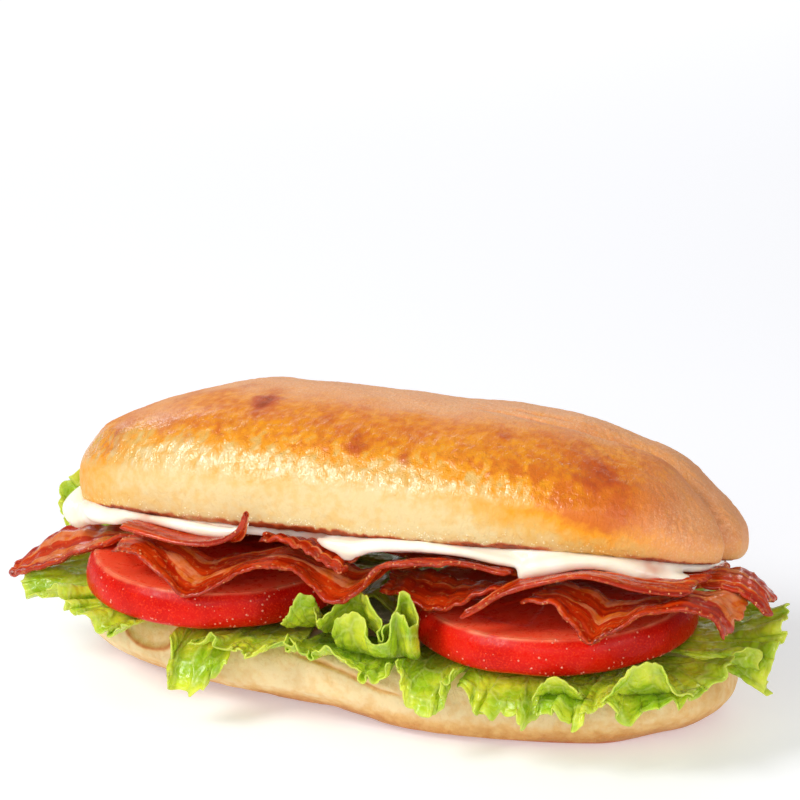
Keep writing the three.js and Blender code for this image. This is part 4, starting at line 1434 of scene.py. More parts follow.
BACON = (
    BaconStrip(
        "strip_wave_front", "bacon_wave_front", seed=1, streaks=((0.42, 1.9), (0.86, 1.0)),
        edge=(
            (-69, -41, 43.5), (-61, -44, 45), (-54, -46.5, 41.5), (-46, -48.5, 36.6), (-40, -47.5, 39),
            (-32, -46, 44), (-25, -45, 47), (-17, -44, 45.5), (-11, -44.5, 42), (-5, -46, 39),
            (1, -45.5, 43), (6, -44.5, 49), (12, -43.5, 51.5), (22, -43, 52.5), (32, -42.5, 53),
            (41, -42, 51.5),
        ),
        width=18, slide=2, level=44.2, keep=0.32,
    ),
    BaconStrip(
        "strip_left_end", "bacon_left_end", seed=2, streaks=((0.28, 2.2), (0.72, 2.0)), calm=0.3,
        edge=(
            (-64, -23, 42), (-73, -23.5, 41), (-80, -23.5, 37.6), (-88, -23, 33.6), (-95, -22, 29.8),
            (-101, -21, 26.6), (-106, -20, 24.3), (-110, -17.5, 22.8),
        ),
        inner=(
            (-64, -8, 38.5), (-74, -8, 38), (-83, -8, 37.2), (-90, -8, 36.4), (-97, -8, 34.4),
            (-103, -8, 30.6), (-108, -9, 26), (-112.5, -11, 22.4),
        ),
        crease=-1.2,
    ),
    BaconStrip(
        "strip_left_upper", "bacon_left_upper", seed=3, streaks=((0.7, 0.9),), calm=1.0,
        edge=(
            (-66, -41, 50.6), (-58, -43, 50.3), (-49, -44.3, 49.8), (-41, -45, 50.6), (-35, -45.6, 53),
            (-30.5, -46.4, 57), (-28.5, -46.6, 61.5),
        ),
        level=48.4, keep=0.1, pinch_end=0.95,
    ),
    BaconStrip(
        "strip_middle_upper", "bacon_middle_upper", seed=4, streaks=((0.3, 1.0), (0.75, 1.2)),
        edge=(
            (-27, -41.5, 52.6), (-20, -42.6, 53.4), (-14, -42.8, 51.8), (-9, -42.5, 49), (-4, -42.2, 46.8),
        ),
        width=12, slide=2, level=49.4, keep=0.25,
    ),
    BaconStrip(
        "strip_middle_lower", "bacon_middle_lower", seed=5, streaks=((0.62, 1.0),), calm=0.2,
        edge=(
            (4, -36, 40), (10, -38, 40.6), (16, -40, 39.6), (23, -42, 40), (29, -42.6, 42.6), (35, -42, 46),
            (40, -41, 47.6),
        ),
        width=18, level=41.4, keep=0.15,
    ),
    BaconStrip(
        "strip_right_upper", "bacon_right_upper", seed=6, streaks=((0.6, 1.0),), calm=0.85,
        edge=(
            (31, -47.4, 41.4), (35, -47.2, 44), (40, -46.8, 47.6), (46, -46, 50.4), (52, -45, 52.4),
            (59, -44, 54.4), (65, -43.4, 54.4), (72, -42, 52.6), (79, -40, 51.2), (87, -36, 50),
        ),
        width=17, slide=2, level=49.3, keep=0.2, pinch_start=0.85,
    ),
    BaconStrip(
        "strip_right_wave", "bacon_right_wave", seed=7, streaks=((0.4, 1.5), (0.8, 1.2)), fat_end=0.7,
        edge=(
            (46, -43.5, 45), (50, -45, 47), (55, -45.5, 46.4), (60, -46, 42.4), (65, -46.6, 38.6),
            (70, -46, 42), (76, -44.6, 45.8), (83, -41, 47.4), (89, -37, 46.6), (93.5, -33.5, 42.5),
            (96, -31, 37),
        ),
        width=18, slide=2, level=44.6, keep=0.35,
    ),
    BaconStrip(
        "strip_right_end", "bacon_right_end", seed=8, streaks=((0.22, 1.0), (0.6, 1.0)), calm=0.6,
        edge=(
            (72, -20, 44.6), (82, -20, 45.4), (90, -20, 46), (96.5, -19.5, 45.6), (100.5, -19, 43),
            (104, -18, 39),
        ),
        slide=-2, level=45.4, keep=0.95, crease=1,
    ),
    BaconStrip(
        "strip_inner", "bacon_inner", seed=9, streaks=((0.3, 1.6), (0.7, 1.4)),
        edge=(
            (-84, -7, 38.6), (-68, -8, 40.6), (-52, -9, 38.4), (-36, -9, 41.2), (-20, -9, 38.2),
            (-4, -9, 40.4), (12, -9, 38.2), (28, -9, 41.4), (44, -9, 38.8), (60, -8, 41.6), (74, -7, 39.4),
        ),
        width=17, slide=3, level=38.7, keep=0.3, spacing=0.7,
    ),
    BaconStrip(
        "strip_back_left", "bacon_back_left", seed=10, streaks=((0.35, 1.6), (0.75, 1.2)),
        edge=(
            (-72, 37, 29.6), (-61, 41, 32), (-49, 43, 28.6), (-37, 43, 32), (-25, 43, 28.6),
            (-13, 42, 31.6), (-2, 41, 29),
        ),
        width=-12, level=31, keep=0.4,
    ),
    BaconStrip(
        "strip_back_right", "bacon_back_right", seed=11, streaks=((0.3, 1.4), (0.7, 1.4)),
        edge=(
            (10, 41, 29.4), (22, 42.6, 32.6), (34, 43.4, 29.2), (46, 43.4, 32.8), (58, 42.4, 29.8),
            (70, 39.4, 33.4), (81, 34, 31.4),
        ),
        width=-10, level=31.6, keep=0.4,
    ),
)


# ---------------------------- mayonnaise


@dataclass(frozen=True)
class Spread:
    """The mayonnaise under the crown, squeezed out past the rim in lobes along the front.

    A layer is a share of the way out and up. The edge's rows are x, sag and how far it is squeezed out, a
    strand's are x, y, z and radius, and a smear is x and width.
    """

    crown: Crown
    back_thickness: float = 1.3
    front_thickness: float = 3.2
    lift: float = 0.35
    columns: int = 420
    voxel: float = 0.7
    rim_inset: float = 4
    back_overhang: float = -2.2
    middle_depth: float = 2.2
    ball_rings: int = 10
    ball_columns: int = 18
    ball_spacing: float = 0.8
    layers: Pairs = (
        (0.1, 0), (0.3, 0), (0.5, 0), (0.65, 0), (0.75, 0), (0.82, 0), (0.88, 0), (0.92, 0), (0.95, 0),
        (0.975, 0), (0.992, 0.15), (1.0, 0.4), (1.0, 0.7), (0.99, 0.92), (0.97, 1), (0.9, 1), (0.75, 1),
        (0.5, 1), (0.25, 1),
    )
    edge: tuple[Station, ...] = (
        (-96, 5, 5.5), (-88, 7, 5), (-80, 5.5, 4), (-72, 3.6, 2.4), (-55, 2.6, 1.4), (-38, 2.4, 1),
        (-30, 0.8, -1.2), (-14, 0.8, -1), (-7, 2.6, 1.4), (0, 2.8, 1.8), (14, 2.2, 1.6), (28, 2, 1.4),
        (39, 2, 1.4), (45, 3, 2.4), (51, 2.4, 2.4), (68, 2.6, 2.2), (78, 3, 2.2), (84, 3, 0.6),
        (95, 0.6, -1.5),
    )
    strands: tuple[tuple[Four, ...], ...] = (
        (
            (-89.1, -14, 48.7, 1.6), (-89.8, -15, 46.4, 2.8), (-90.3, -16, 43.8, 4), (-89, -17, 42.4, 3.6),
        ),
        (
            (-85.6, -18.7, 46, 2.4), (-80.9, -23.4, 46.7, 2.9), (-76.3, -26.5, 47.5, 2.4),
            (-72.6, -28.5, 48.5, 2.4), (-68.8, -30.3, 50, 1.3), (-61.4, -33, 50.8, 1.3),
            (-53.4, -35.4, 51.4, 1.7), (-44.2, -37.2, 51.5, 1.9), (-37.4, -38, 52, 1.6),
            (-33, -38.4, 53.6, 1), (-30.6, -38.5, 55.6, 0.5),
        ),
        (
            (-11.7, -38.1, 53.3, 0.8), (-8.9, -38.4, 52.8, 1.7), (-4.2, -38.6, 52.5, 2.3),
            (-1.1, -38.6, 52.5, 2.4), (2.2, -38.5, 53.6, 2), (6.9, -38.5, 54.4, 1.9),
            (11, -38.5, 54.8, 1.7), (16.4, -38.4, 55.2, 1.6), (23.1, -38, 55.1, 1.5),
            (28.4, -37.8, 54.8, 1.4), (36.3, -37.4, 53.9, 1.5), (40.3, -37, 53.4, 1.3),
            (43.4, -36.6, 52.8, 1),
        ),
        (
            (-5.6, -38.6, 51.6, 1.2), (-4.2, -38.8, 50, 1.2), (-2.2, -38.8, 49.8, 1),
        ),
        (
            (43.6, -37.4, 50, 1.2), (44.7, -37.2, 51.6, 2.1), (46.7, -36.9, 52.6, 2.6),
            (50, -36.4, 53.4, 2.6), (53.5, -35.6, 54.2, 2.4), (58, -34.4, 54.8, 2), (63, -33, 54.7, 1.9),
            (67.3, -31.4, 53.7, 2.2), (71.4, -29.6, 52.2, 2.5), (74.9, -27.9, 51, 2.3),
            (77.7, -26.3, 50, 1.9), (80.2, -25.4, 49, 2.5), (82.6, -24.4, 47.8, 3.3),
            (84, -22.4, 47.6, 2.2),
        ),
    )
    smears: Pairs = ((-61, 4), (-13, 4), (76, 3))

    def edge_at(self, x: Array) -> tuple[Array, Array]:
        """How far the front edge sags and how far it is squeezed out, at a place along it."""
        places, sags, outs = (np.array(column) for column in zip(*self.edge))
        i = np.clip(np.searchsorted(places, x, side="right") - 1, 0, len(places) - 2)
        t = smooth((x - places[i]) / (places[i + 1] - places[i]))
        return lerp(sags[i], sags[i + 1], t), lerp(outs[i], outs[i + 1], t)

    def build(self, finish: Material) -> Object:
        """Builds the spread as one smooth body.

        Args:
            finish: The mayonnaise.

        Returns:
            The piece.
        """
        crown = self.crown
        angle = crown.angles(self.columns)
        rim_x, _ = crown.outline(angle, self.rim_inset)
        front = smooth(0.45 - np.sin(angle) * 1.3)
        sag, out = self.edge_at(rim_x)
        rows = []
        for share, level in self.layers:
            overhang = lerp(self.back_overhang, out, front) * share**4
            x, y = crown.outline(angle, self.rim_inset - overhang)
            px, py = x * share, y * share
            to_front = np.clip(0.5 - py / (2 * crown.half_width), 0, 1)
            hang = np.maximum(0, sag - self.front_thickness) * share**6 * front
            thick = lerp(self.back_thickness, self.front_thickness, to_front) + hang + self.lift
            top = crown.cut_face(px, py) + self.lift
            ripple = (0.5 * noise(61, px / 5, py / 5) + 0.5 * noise(62, px / 13, py / 13)) * (1 - level)
            rows.append(np.stack([px, py, top - thick * (1 - level) + ripple], -1))
        rings = np.stack(rows)
        middle = np.array([0, 0, crown.cut_face(0.0, 0.0)])
        made = make_object(
            "mayonnaise_spread",
            ring_points(rings, middle - (0, 0, self.middle_depth), middle + (0, 0, self.lift)),
            ring_faces(*rings.shape[:2]),
        )
        self.add_strands(made)
        remesh = made.modifiers.new("flow", "REMESH")
        remesh.mode = "VOXEL"
        remesh.voxel_size = self.voxel * MM
        remesh.use_smooth_shade = True
        soften = made.modifiers.new("soften", "SMOOTH")
        soften.factor = 0.5
        soften.iterations = 8
        flatten(made)
        self.add_smears(made)
        made.data.materials.append(finish)
        return made

    def add_strands(self, spread: Object) -> None:
        """Joins the strands, as rows of balls, to the spread's mesh, to be melted together with it."""
        polar = np.linspace(math.pi, 0, self.ball_rings + 2)[1:-1, None]
        turn = (TAU * np.arange(self.ball_columns) / self.ball_columns)[None, :]
        ball = np.stack(
            [np.sin(polar) * np.cos(turn), np.sin(polar) * np.sin(turn), np.cos(polar) + 0 * turn], -1
        )
        ball = ring_points(ball, np.array([0, 0, -1.0]), np.array([0, 0, 1.0]))
        faces = ring_faces(self.ball_rings, self.ball_columns)
        points, numbers = [], []
        for strand in self.strands:
            rail = Rail([drop[:3] for drop in strand])
            shares = np.linspace(0, 1, max(4, round(rail.length / self.ball_spacing)))
            radii = np.interp(shares, np.linspace(0, 1, len(strand)), [drop[3] for drop in strand])
            for middle, radius in zip(rail.at(shares), radii):
                numbers.append(faces + len(ball) * len(points))
                points.append(ball * radius + middle)
        balls = make_object("strands", np.concatenate(points), np.concatenate(numbers))
        join(spread, [spread, balls])

    def add_smears(self, spread: Object) -> None:
        """Marks the places where the bacon's juice has run into the spread."""
        mesh = spread.data
        places = np.zeros(3 * len(mesh.vertices), np.float32)
        mesh.vertices.foreach_get("co", places)
        x, y, z = places.reshape(-1, 3).T / MM
        pink = sum(hill(x, at, width) for at, width in self.smears)
        pink = np.clip(pink * (0.7 + 0.6 * noise(64, x / 2, y / 2, z / 2)) * step(-10, -16, y), 0, 1)
        mesh.attributes.new("smear", "FLOAT", "POINT").data.foreach_set("value", pink.astype(np.float32))


# ---------------------------- lettuce


@dataclass(frozen=True)
class Leaf:
    """A ruffled leaf, by stations along its margin: root x, root y, margin x, margin y, margin z.

    From its root it runs over a bend, given as its share of the way out and its height, to its margin. Each
    of its folds is a row of ruffles: their length, height, how fast they die out inwards and their slant.
    """

    name: str
    node: str
    seed: int
    stations: tuple[Five, ...]
    bend: tuple[float, float]
    waves: float
    ruffle: float
    root_z: float = 22.2
    frill: float = 1.0
    lean: float = 0.7
    folds: tuple[Four, ...] = ((13.0, 2.2, 1.8, 0.5), (5.8, 1.0, 3.2, 0.42))
    half_thickness: float = 0.34
    spacing: float = 0.45
    # How strongly painted shade darkens the leaf towards its root.
    shade: float = 0.45

    def middle(self, u: Array, v: Array) -> Array:
        """The middle surface; u runs along the margin and v from the root to the margin."""
        root = Rail([(s[0], s[1], self.root_z) for s in self.stations])
        margin = Rail([s[2:] for s in self.stations])
        a, c = root.at(u), margin.at(u)
        b = lerp(a, c, self.bend[0])
        b[..., 2] = self.bend[1]
        vv = v[..., None]
        p = a * (1 - vv) ** 2 + b * 2 * vv * (1 - vv) + c * vv**2
        along = margin.direction(u)
        out = unit(c - b)
        face = unit(np.cross(along, out))
        phase = TAU * (self.waves * u + 0.3 * drift(u, self.seed) + 0.18 * v)
        size = self.ruffle * v**1.6 * (1 + 0.5 * drift(1.3 * u, self.seed + 3))
        p = p + face * (size * np.sin(phase))[..., None]
        p = p - along * (0.3 * size * np.sin(2 * phase))[..., None]
        p = p + out * (0.4 * self.ruffle * v**3 * np.sin(2.6 * phase + self.seed))[..., None]

        s = margin.run(u)
        seed = 200 + 10 * self.seed
        outward = np.sign(face[..., 2].mean()) * self.lean
        for length, height, power, slant in self.folds:
            turn = TAU * (s / length + 0.85 * noise(seed, s / length) + 0.12 * v)
            size = self.frill * height * v**power * (0.75 + 0.5 * noise(seed + 1, s / length * 0.7))
            p = p + face * (size * (np.sin(turn) + outward))[..., None]
            p = p - along * (slant * size * np.sin(2 * turn))[..., None]
            seed += 2
        third = TAU * (s / 2.5 + 0.9 * noise(seed, s / 3.5))
        p = p + face * (0.3 * self.frill * v**8 * np.sin(third))[..., None]
        teeth = 0.7 * noise(seed + 1, s / 2.6) + 0.45 * noise(seed + 2, s / 1.1)
        return p + out * (teeth * v**9)[..., None]

    def build(self, finish: Material) -> Object:
        """Builds the leaf, with blistered cells between its veins.

        Args:
            finish: The leaf's skin.

        Returns:
            The piece.
        """
        margin = Rail([s[2:] for s in self.stations])
        reach = [np.subtract(s[2:], (s[0], s[1], self.root_z)) for s in self.stations]
        depth = float(np.linalg.norm(reach, axis=1).mean())
        columns = int(np.clip(margin.length / self.spacing, 60, 400))
        rows = int(np.clip(depth / self.spacing, 30, 76))
        u = np.linspace(0, 1, columns)[:, None]
        v = (1 - (1 - np.linspace(0, 1, rows)) ** 1.25)[None, :]
        u, v = np.broadcast_arrays(u, v)
        points = self.middle(u, v)
        s = margin.run(u)
        r = v * depth
        seed = 400 + 10 * self.seed
        bent_s = s + 1.3 * noise(seed, s / 5, r / 5)
        bent_r = r + 1.3 * noise(seed + 1, s / 5, r / 5)
        cells = cell_edges(seed + 2, bent_s / 6.5, bent_r / 8.5)
        small = cell_edges(seed + 3, bent_s / 3.0, bent_r / 3.6)
        fade = step(0.05, 0.25, v) * step(1.02, 0.85, v)
        blister = (0.42 * step(0.0, 0.6, cells) + 0.16 * step(0.0, 0.6, small)) * fade
        points = points + grid_normals(points) * (blister - 0.25 * fade)[..., None]
        half = self.half_thickness * (1 - 0.45 * step(0.9, 1.0, v)) + 0.1 * step(0.1, 0.0, cells) * fade
        vertices, faces = sheet(points, half)
        vein = step(0.09, 0.015, cells) * step(1.0, 0.9, v)
        edge = step(0.94, 1.0, v + 0.02 * noise(seed + 4, s / 2))
        # Painted shade, in the hollows near the veins and towards the root, where the tomato shades the leaf.
        hollow = 0.25 * step(0.4, 0.1, cells) + self.shade * step(0.55, 0.15, v)
        uv = np.stack([s + 150 * self.seed, r], -1).reshape(-1, 2)
        fields = sheet_fields(vein=vein, margin=edge, hollow=hollow)
        return make_object(self.name, vertices, faces, fields, np.concatenate([uv, uv]), finish)


LETTUCE = (
    Leaf(
        "leaf_left_end", "lettuce_left_end", seed=1,
        stations=(
            (-60, 1, -98, -2, 25.5), (-60, -3, -103.5, -11, 21.4), (-60, -7, -105, -20, 20),
            (-59, -11, -99, -27, 21.5), (-58, -14, -90.5, -31.5, 24.5), (-57, -17, -86, -34.5, 22.6),
            (-56, -19, -79, -39.5, 21.6), (-55, -20, -71, -43.5, 20.8), (-54, -21, -61, -47, 22),
        ),
        bend=(0.62, 24.6), waves=3.5, ruffle=1.5, frill=0.75, shade=0.15,
    ),
    Leaf(
        "leaf_left_front", "lettuce_left_front", seed=2,
        stations=(
            (-51, -24, -51.5, -46.5, 23), (-49, -25, -50.5, -48.5, 19.5), (-47, -25, -50.5, -50, 14.5),
            (-45, -25, -48.5, -50.5, 10.8), (-43, -25, -44, -50.5, 10.2), (-41, -25, -40, -50, 11.5),
            (-39, -25, -37.5, -49, 14.5), (-37, -24, -34.5, -47.5, 19),
        ),
        bend=(0.86, 23.2), waves=1.4, ruffle=1.1, frill=0.6,
    ),
    Leaf(
        "leaf_left_fold", "lettuce_left_fold", seed=12,
        stations=(
            (-35, -24, -44, -50.5, 25.2), (-33, -25, -37, -50, 23), (-30, -25, -31, -49.5, 21.8),
            (-26, -25, -25.5, -49, 20.4), (-22, -25, -21, -48.5, 23.5), (-18, -24, -15, -47, 26.8),
        ),
        bend=(0.84, 23.6), waves=2.2, ruffle=1.3,
    ),
    Leaf(
        "leaf_middle_upper", "lettuce_middle_upper", seed=3,
        stations=(
            (-14, -21, -20, -44, 31), (-12.5, -21, -16.5, -47, 36), (-11, -21, -13.5, -47, 41.2),
            (-9.5, -21, -11, -44, 40), (-8, -21, -10.5, -43, 35), (-7, -21, -8.5, -47.5, 33),
            (-5, -21, -6, -44, 38), (-3, -21, -1, -41.5, 41.6), (-1, -21, 4, -44.5, 42),
            (1, -21, 7.5, -48, 37.5), (2, -21, 9.5, -49, 32.5), (3, -21, 11.5, -46, 39),
            (4, -21, 13.5, -43.5, 44.2), (5, -21, 18, -45.5, 39.5), (6, -21, 17.5, -48, 34.5),
        ),
        root_z=24.4, bend=(0.78, 27), waves=4, ruffle=0.5, frill=0.3, lean=0,
    ),
    Leaf(
        "leaf_middle_curl", "", seed=13,
        stations=(
            (-3, -43, -5.3, -46, 30.8), (-2.5, -43, -4.2, -46, 34.3), (-0.5, -43, -1.3, -46.5, 36.9),
            (1, -43, 1.2, -46.5, 37.8), (3, -43, 3.3, -47, 37.2), (4.5, -43.5, 5, -48.5, 34.4),
            (6.5, -44, 6.8, -50, 31.9), (8.5, -44, 9.2, -50.5, 31.6), (10.5, -44, 11.5, -50, 33.1),
            (11.5, -43, 11.9, -48, 36.2), (12.6, -42, 12.6, -46, 39.4), (14.3, -42, 14.8, -47, 39),
            (15.8, -42.5, 16.6, -49, 37), (17, -42.5, 17.5, -48.5, 36.1), (17.3, -41, 17.7, -45, 37),
        ),
        root_z=25.5, bend=(0.7, 27.5), waves=2, ruffle=0.2, frill=0.25, lean=0,
    ),
    Leaf(
        "leaf_middle_lower", "lettuce_middle_lower", seed=4,
        stations=(
            (-14, -26, -19, -46.5, 28.5), (-12, -26, -15, -49.5, 25.6), (-8, -26, -10, -50, 23.6),
            (-5, -26, -7.5, -51, 27), (-2, -26, -3.5, -51, 28.5), (1, -26, 0, -51, 26.5),
            (3, -26, 3, -50.5, 21.5), (5, -26, 6, -50, 20), (8, -26, 9, -49, 22),
            (10, -26, 12.5, -47.5, 23),
        ),
        bend=(0.8, 22.6), waves=2.4, ruffle=1, frill=0.7,
    ),
    Leaf(
        "leaf_middle_right", "lettuce_middle_right", seed=5,
        stations=(
            (14, -26, 13.5, -46.5, 27), (16, -26, 14.5, -49.5, 22.5), (18.5, -26, 16.5, -51, 17),
            (21.5, -26, 20, -51.5, 14.4), (25, -26, 24.5, -51, 14.3), (27, -26, 27, -50.5, 17.5),
            (29, -26, 28.5, -49.5, 22), (31, -26, 30, -47.5, 26.4),
        ),
        bend=(0.86, 24.6), waves=1.4, ruffle=0.8, frill=0.6,
    ),
    Leaf(
        "leaf_right_front", "lettuce_right_front", seed=6,
        stations=(
            (31, -27, 30, -47.5, 21.5), (36.5, -27, 36, -49.5, 16.8), (41, -27, 40.5, -50, 16),
            (45, -27, 45, -50, 17.2), (48.5, -27, 48, -50, 14.2), (52.5, -27, 52.5, -50, 18),
            (56.5, -27, 57, -50, 19), (60.5, -27, 61, -50, 16), (63.5, -27, 64.5, -49.5, 16.6),
        ),
        bend=(0.86, 24.8), waves=3.2, ruffle=2.1,
    ),
    Leaf(
        "leaf_right_corner", "lettuce_right_corner", seed=7,
        stations=(
            (63.6, -26, 65, -48.8, 19.5), (66.5, -24, 70, -48.5, 21.4), (67.5, -23, 74.5, -47.5, 18.4),
            (68.5, -21, 79, -45, 20), (69.5, -19, 84, -41, 20), (70, -17, 89.5, -35.5, 21.2),
            (70, -15, 94, -29, 23), (70, -13, 97, -23, 25),
        ),
        bend=(0.8, 25), waves=2.8, ruffle=2.2,
    ),
    Leaf(
        "leaf_right_hood", "", seed=14,
        stations=(
            (51.5, -43, 50.8, -49.5, 21.8), (52.5, -43, 52.3, -51, 26), (54.5, -43, 54.5, -51.3, 28.4),
            (57.5, -43, 57.8, -51, 29.1), (60.5, -43, 61, -50.8, 28.1), (62.5, -43, 63.4, -50.8, 26.1),
            (63, -42, 62.4, -48, 24.2),
        ),
        root_z=21, bend=(0.5, 22.5), waves=1, ruffle=0.1, frill=0.15, lean=0,
    ),
    Leaf(
        "leaf_right_arch", "", seed=15,
        stations=(
            (69, -41, 68.7, -50, 23.8), (71, -40.5, 71.8, -51, 27.7), (73.5, -40, 74.5, -50.5, 31.8),
            (76.5, -39, 77.3, -49.5, 34.4), (80, -38, 80.6, -48.5, 35.8), (82.5, -37, 83.4, -47, 35.3),
            (84, -36, 84.5, -47, 33.1), (86, -35, 85.7, -46.5, 29.8), (88, -33, 88, -45, 27),
            (90, -31, 90.6, -42, 25),
        ),
        root_z=23, bend=(0.5, 25), waves=1.5, ruffle=0.2, frill=0.2, lean=0,
    ),
    Leaf(
        "leaf_right_end", "lettuce_right_end", seed=8,
        stations=(
            (62, 12, 91, 12, 28.5), (62, 9, 97, 8, 31), (62, 6, 103, 3, 33.5), (62, 3, 106.5, -2, 36),
            (62, 0, 107, -8, 35), (62, -3, 106.8, -12.5, 29.5), (62, -5, 106, -17, 23.5),
            (62, -6.5, 105, -19, 17.6), (62, -8, 103.6, -19.2, 22.6), (62, -9, 101, -20.5, 26.4),
            (62, -10, 96.5, -22, 27.4),
        ),
        bend=(0.66, 26), waves=2.2, ruffle=1.2, frill=0.6, shade=0.0,
    ),
    Leaf(
        "leaf_left_back", "lettuce_left_back", seed=9,
        stations=(
            (-60, 7, -102, 4, 28.5), (-60, 10, -107.5, 9, 31.5), (-60, 13, -107.5, 13, 37.5),
            (-60, 16, -104.5, 17.5, 42), (-58, 19, -99, 24, 39), (-56, 22, -92, 30.5, 32),
            (-54, 25, -84, 36, 26),
        ),
        bend=(0.68, 24.5), waves=2.4, ruffle=1.3,
    ),
    Leaf(
        "leaf_back_left", "lettuce_back_left", seed=10,
        stations=(
            (-72, 24, -81, 42.5, 23), (-64, 25, -70, 46, 20), (-54, 25, -58, 48.5, 18),
            (-44, 25, -46, 48.5, 21.5), (-33, 25, -33, 49.5, 16.5), (-21, 25, -20, 49, 18.5),
            (-9, 25, -8, 47.5, 21.5),
        ),
        bend=(0.8, 23.8), waves=4.6, ruffle=1.9,
    ),
    Leaf(
        "leaf_back_right", "lettuce_back_right", seed=11,
        stations=(
            (-4, 25, -4, 47.5, 21.5), (10, 25, 10, 49.5, 17.5), (24, 25, 24, 49, 21),
            (38, 25, 39, 49.5, 16), (52, 25, 54, 48, 19), (63, 24, 68, 45.5, 21.5), (72, 22, 81, 40, 23),
        ),
        bend=(0.8, 23.8), waves=4.8, ruffle=1.9,
    ),
)


@dataclass(frozen=True)
class LeafBed:
    """A loose leaf laid flat under the tomato slices, rising in the gap between them, evenly darkened with
    painted shade.
    """

    name: str = "leaf_bed"
    node: str = "lettuce_bed"
    left: float = -54
    right: float = 56
    front: float = -18
    back: float = 20
    z: float = 22.2
    rise: float = 8
    rise_x: float = -4
    rise_width: float = 7
    columns: int = 180
    rows: int = 64
    half_thickness: float = 0.35

    def build(self, finish: Material) -> Object:
        """Builds the leaf.

        Args:
            finish: The leaf's skin.

        Returns:
            The piece.
        """
        u = np.linspace(0, 1, self.columns)[:, None]
        v = np.linspace(0, 1, self.rows)[None, :]
        u, v = np.broadcast_arrays(u, v)
        x, y = lerp(self.left, self.right, u), lerp(self.front, self.back, v)
        ripple = 0.45 * np.sin(TAU * (4 * u + 0.5 * v)) * np.sin(math.pi * v)
        rise = self.rise * hill(x, self.rise_x, self.rise_width)
        cells = cell_edges(700, x / 5, y / 5)
        blister = 0.4 * step(0.0, 0.5, cells)
        points = np.stack([x, y, self.z + ripple + rise + blister], -1)
        vertices, faces = sheet(points, np.full(x.shape, self.half_thickness))
        uv = np.stack([x, y + 500], -1).reshape(-1, 2)
        fields = sheet_fields(
            # The whole bed takes the same painted shade, as it lies under the tomato slices.
            vein=step(0.12, 0.02, cells), margin=np.zeros(x.shape), hollow=np.full(x.shape, 0.3)
        )
        return make_object(self.name, vertices, faces, fields, np.concatenate([uv, uv]), finish)


# ---------------------------- scattered beads


@dataclass(frozen=True)
class Beads:
    """Small beads that lie scattered over a surface, each flattened onto it.

    The mask names the field of the surface's mesh that says how densely they lie.
    """

    name: str
    per_square_metre: float
    smallest: float
    largest: float
    flatness: float
    seed: int
    mask: str
    segments: int = 9
    rings: int = 6

    def tree(self) -> NodeTree:
        """Builds the node tree that strews the beads.

        Returns:
            The tree, with inputs for number, sizes, flatness, seed and finish.
        """
        tree = bpy.data.node_groups.new(self.name, "GeometryNodeTree")
        face = tree.interface
        face.new_socket("Surface", in_out="INPUT", socket_type="NodeSocketGeometry")
        for name in ("Density", "Smallest", "Largest", "Flatness"):
            face.new_socket(name, in_out="INPUT", socket_type="NodeSocketFloat")
        face.new_socket("Seed", in_out="INPUT", socket_type="NodeSocketInt")
        face.new_socket("Finish", in_out="INPUT", socket_type="NodeSocketMaterial")
        face.new_socket("Beads", in_out="OUTPUT", socket_type="NodeSocketGeometry")
        add = partial(add_node, tree)
        given = add("NodeGroupInput").outputs
        mask = add("GeometryNodeInputNamedAttribute", {"Name": self.mask}, data_type="FLOAT")
        density = {0: given["Density"], 1: mask.outputs["Attribute"]}
        density = add("ShaderNodeMath", density, operation="MULTIPLY").outputs[0]
        strewn = add(
            "GeometryNodeDistributePointsOnFaces",
            {"Mesh": given["Surface"], "Density": density, "Seed": given["Seed"]},
        )
        size = {2: given["Smallest"], 3: given["Largest"], "Seed": given["Seed"]}
        wide = add("FunctionNodeRandomValue", size, data_type="FLOAT").outputs[1]
        low = add("ShaderNodeMath", {0: wide, 1: given["Flatness"]}, operation="MULTIPLY").outputs[0]
        scale = add("ShaderNodeCombineXYZ", {0: wide, 1: wide, 2: low}).outputs[0]
        ball = {"Segments": self.segments, "Rings": self.rings, "Radius": 1.0}
        ball = add("GeometryNodeMeshUVSphere", ball).outputs["Mesh"]
        turn = strewn.outputs["Rotation"]
        places = {"Points": strewn.outputs["Points"], "Instance": ball, "Rotation": turn, "Scale": scale}
        placed = add("GeometryNodeInstanceOnPoints", places)
        real = add("GeometryNodeRealizeInstances", {0: placed.outputs[0]})
        shaded = add("GeometryNodeSetShadeSmooth", {0: real.outputs[0]})
        finish = {"Geometry": shaded.outputs[0], "Material": given["Finish"]}
        add("NodeGroupOutput", {0: add("GeometryNodeSetMaterial", finish).outputs[0]})
        return tree

    def strew(self, hosts: list[Object], finish: Material) -> Object:
        """Strews the beads over the hosts' surfaces.

        Args:
            hosts: The pieces that carry them, which hold the mask.
            finish: The beads' material.

        Returns:
            One piece that holds all the beads.
        """
        carriers = [new_object(self.name, host.data.copy()) for host in hosts]
        made = carriers[0]
        if len(carriers) > 1:
            join(made, carriers)
        tree = self.tree()
        modifier = made.modifiers.new("beads", "NODES")
        modifier.node_group = tree
        values = {
            "Density": self.per_square_metre,
            "Smallest": self.smallest * MM,
            "Largest": self.largest * MM,
            "Flatness": self.flatness,
            "Seed": self.seed,
            "Finish": finish,
        }
        for item in tree.interface.items_tree:
            if item.in_out == "INPUT" and item.name in values:
                modifier[item.identifier] = values[item.name]
        flatten(made)
        made.data.materials.clear()
        made.data.materials.append(finish)
        return made


BLISTERS = Beads("rim_blisters", 900000, smallest=0.1, largest=0.28, flatness=0.6, seed=3, mask="blister")
DEW = Beads("tomato_dew", 230000, smallest=0.1, largest=0.36, flatness=0.7, seed=5, mask="dew")
GREASE = Beads("bacon_grease", 200000, smallest=0.12, largest=0.34, flatness=0.7, seed=7, mask="crisp")


# ---------------------------- studio


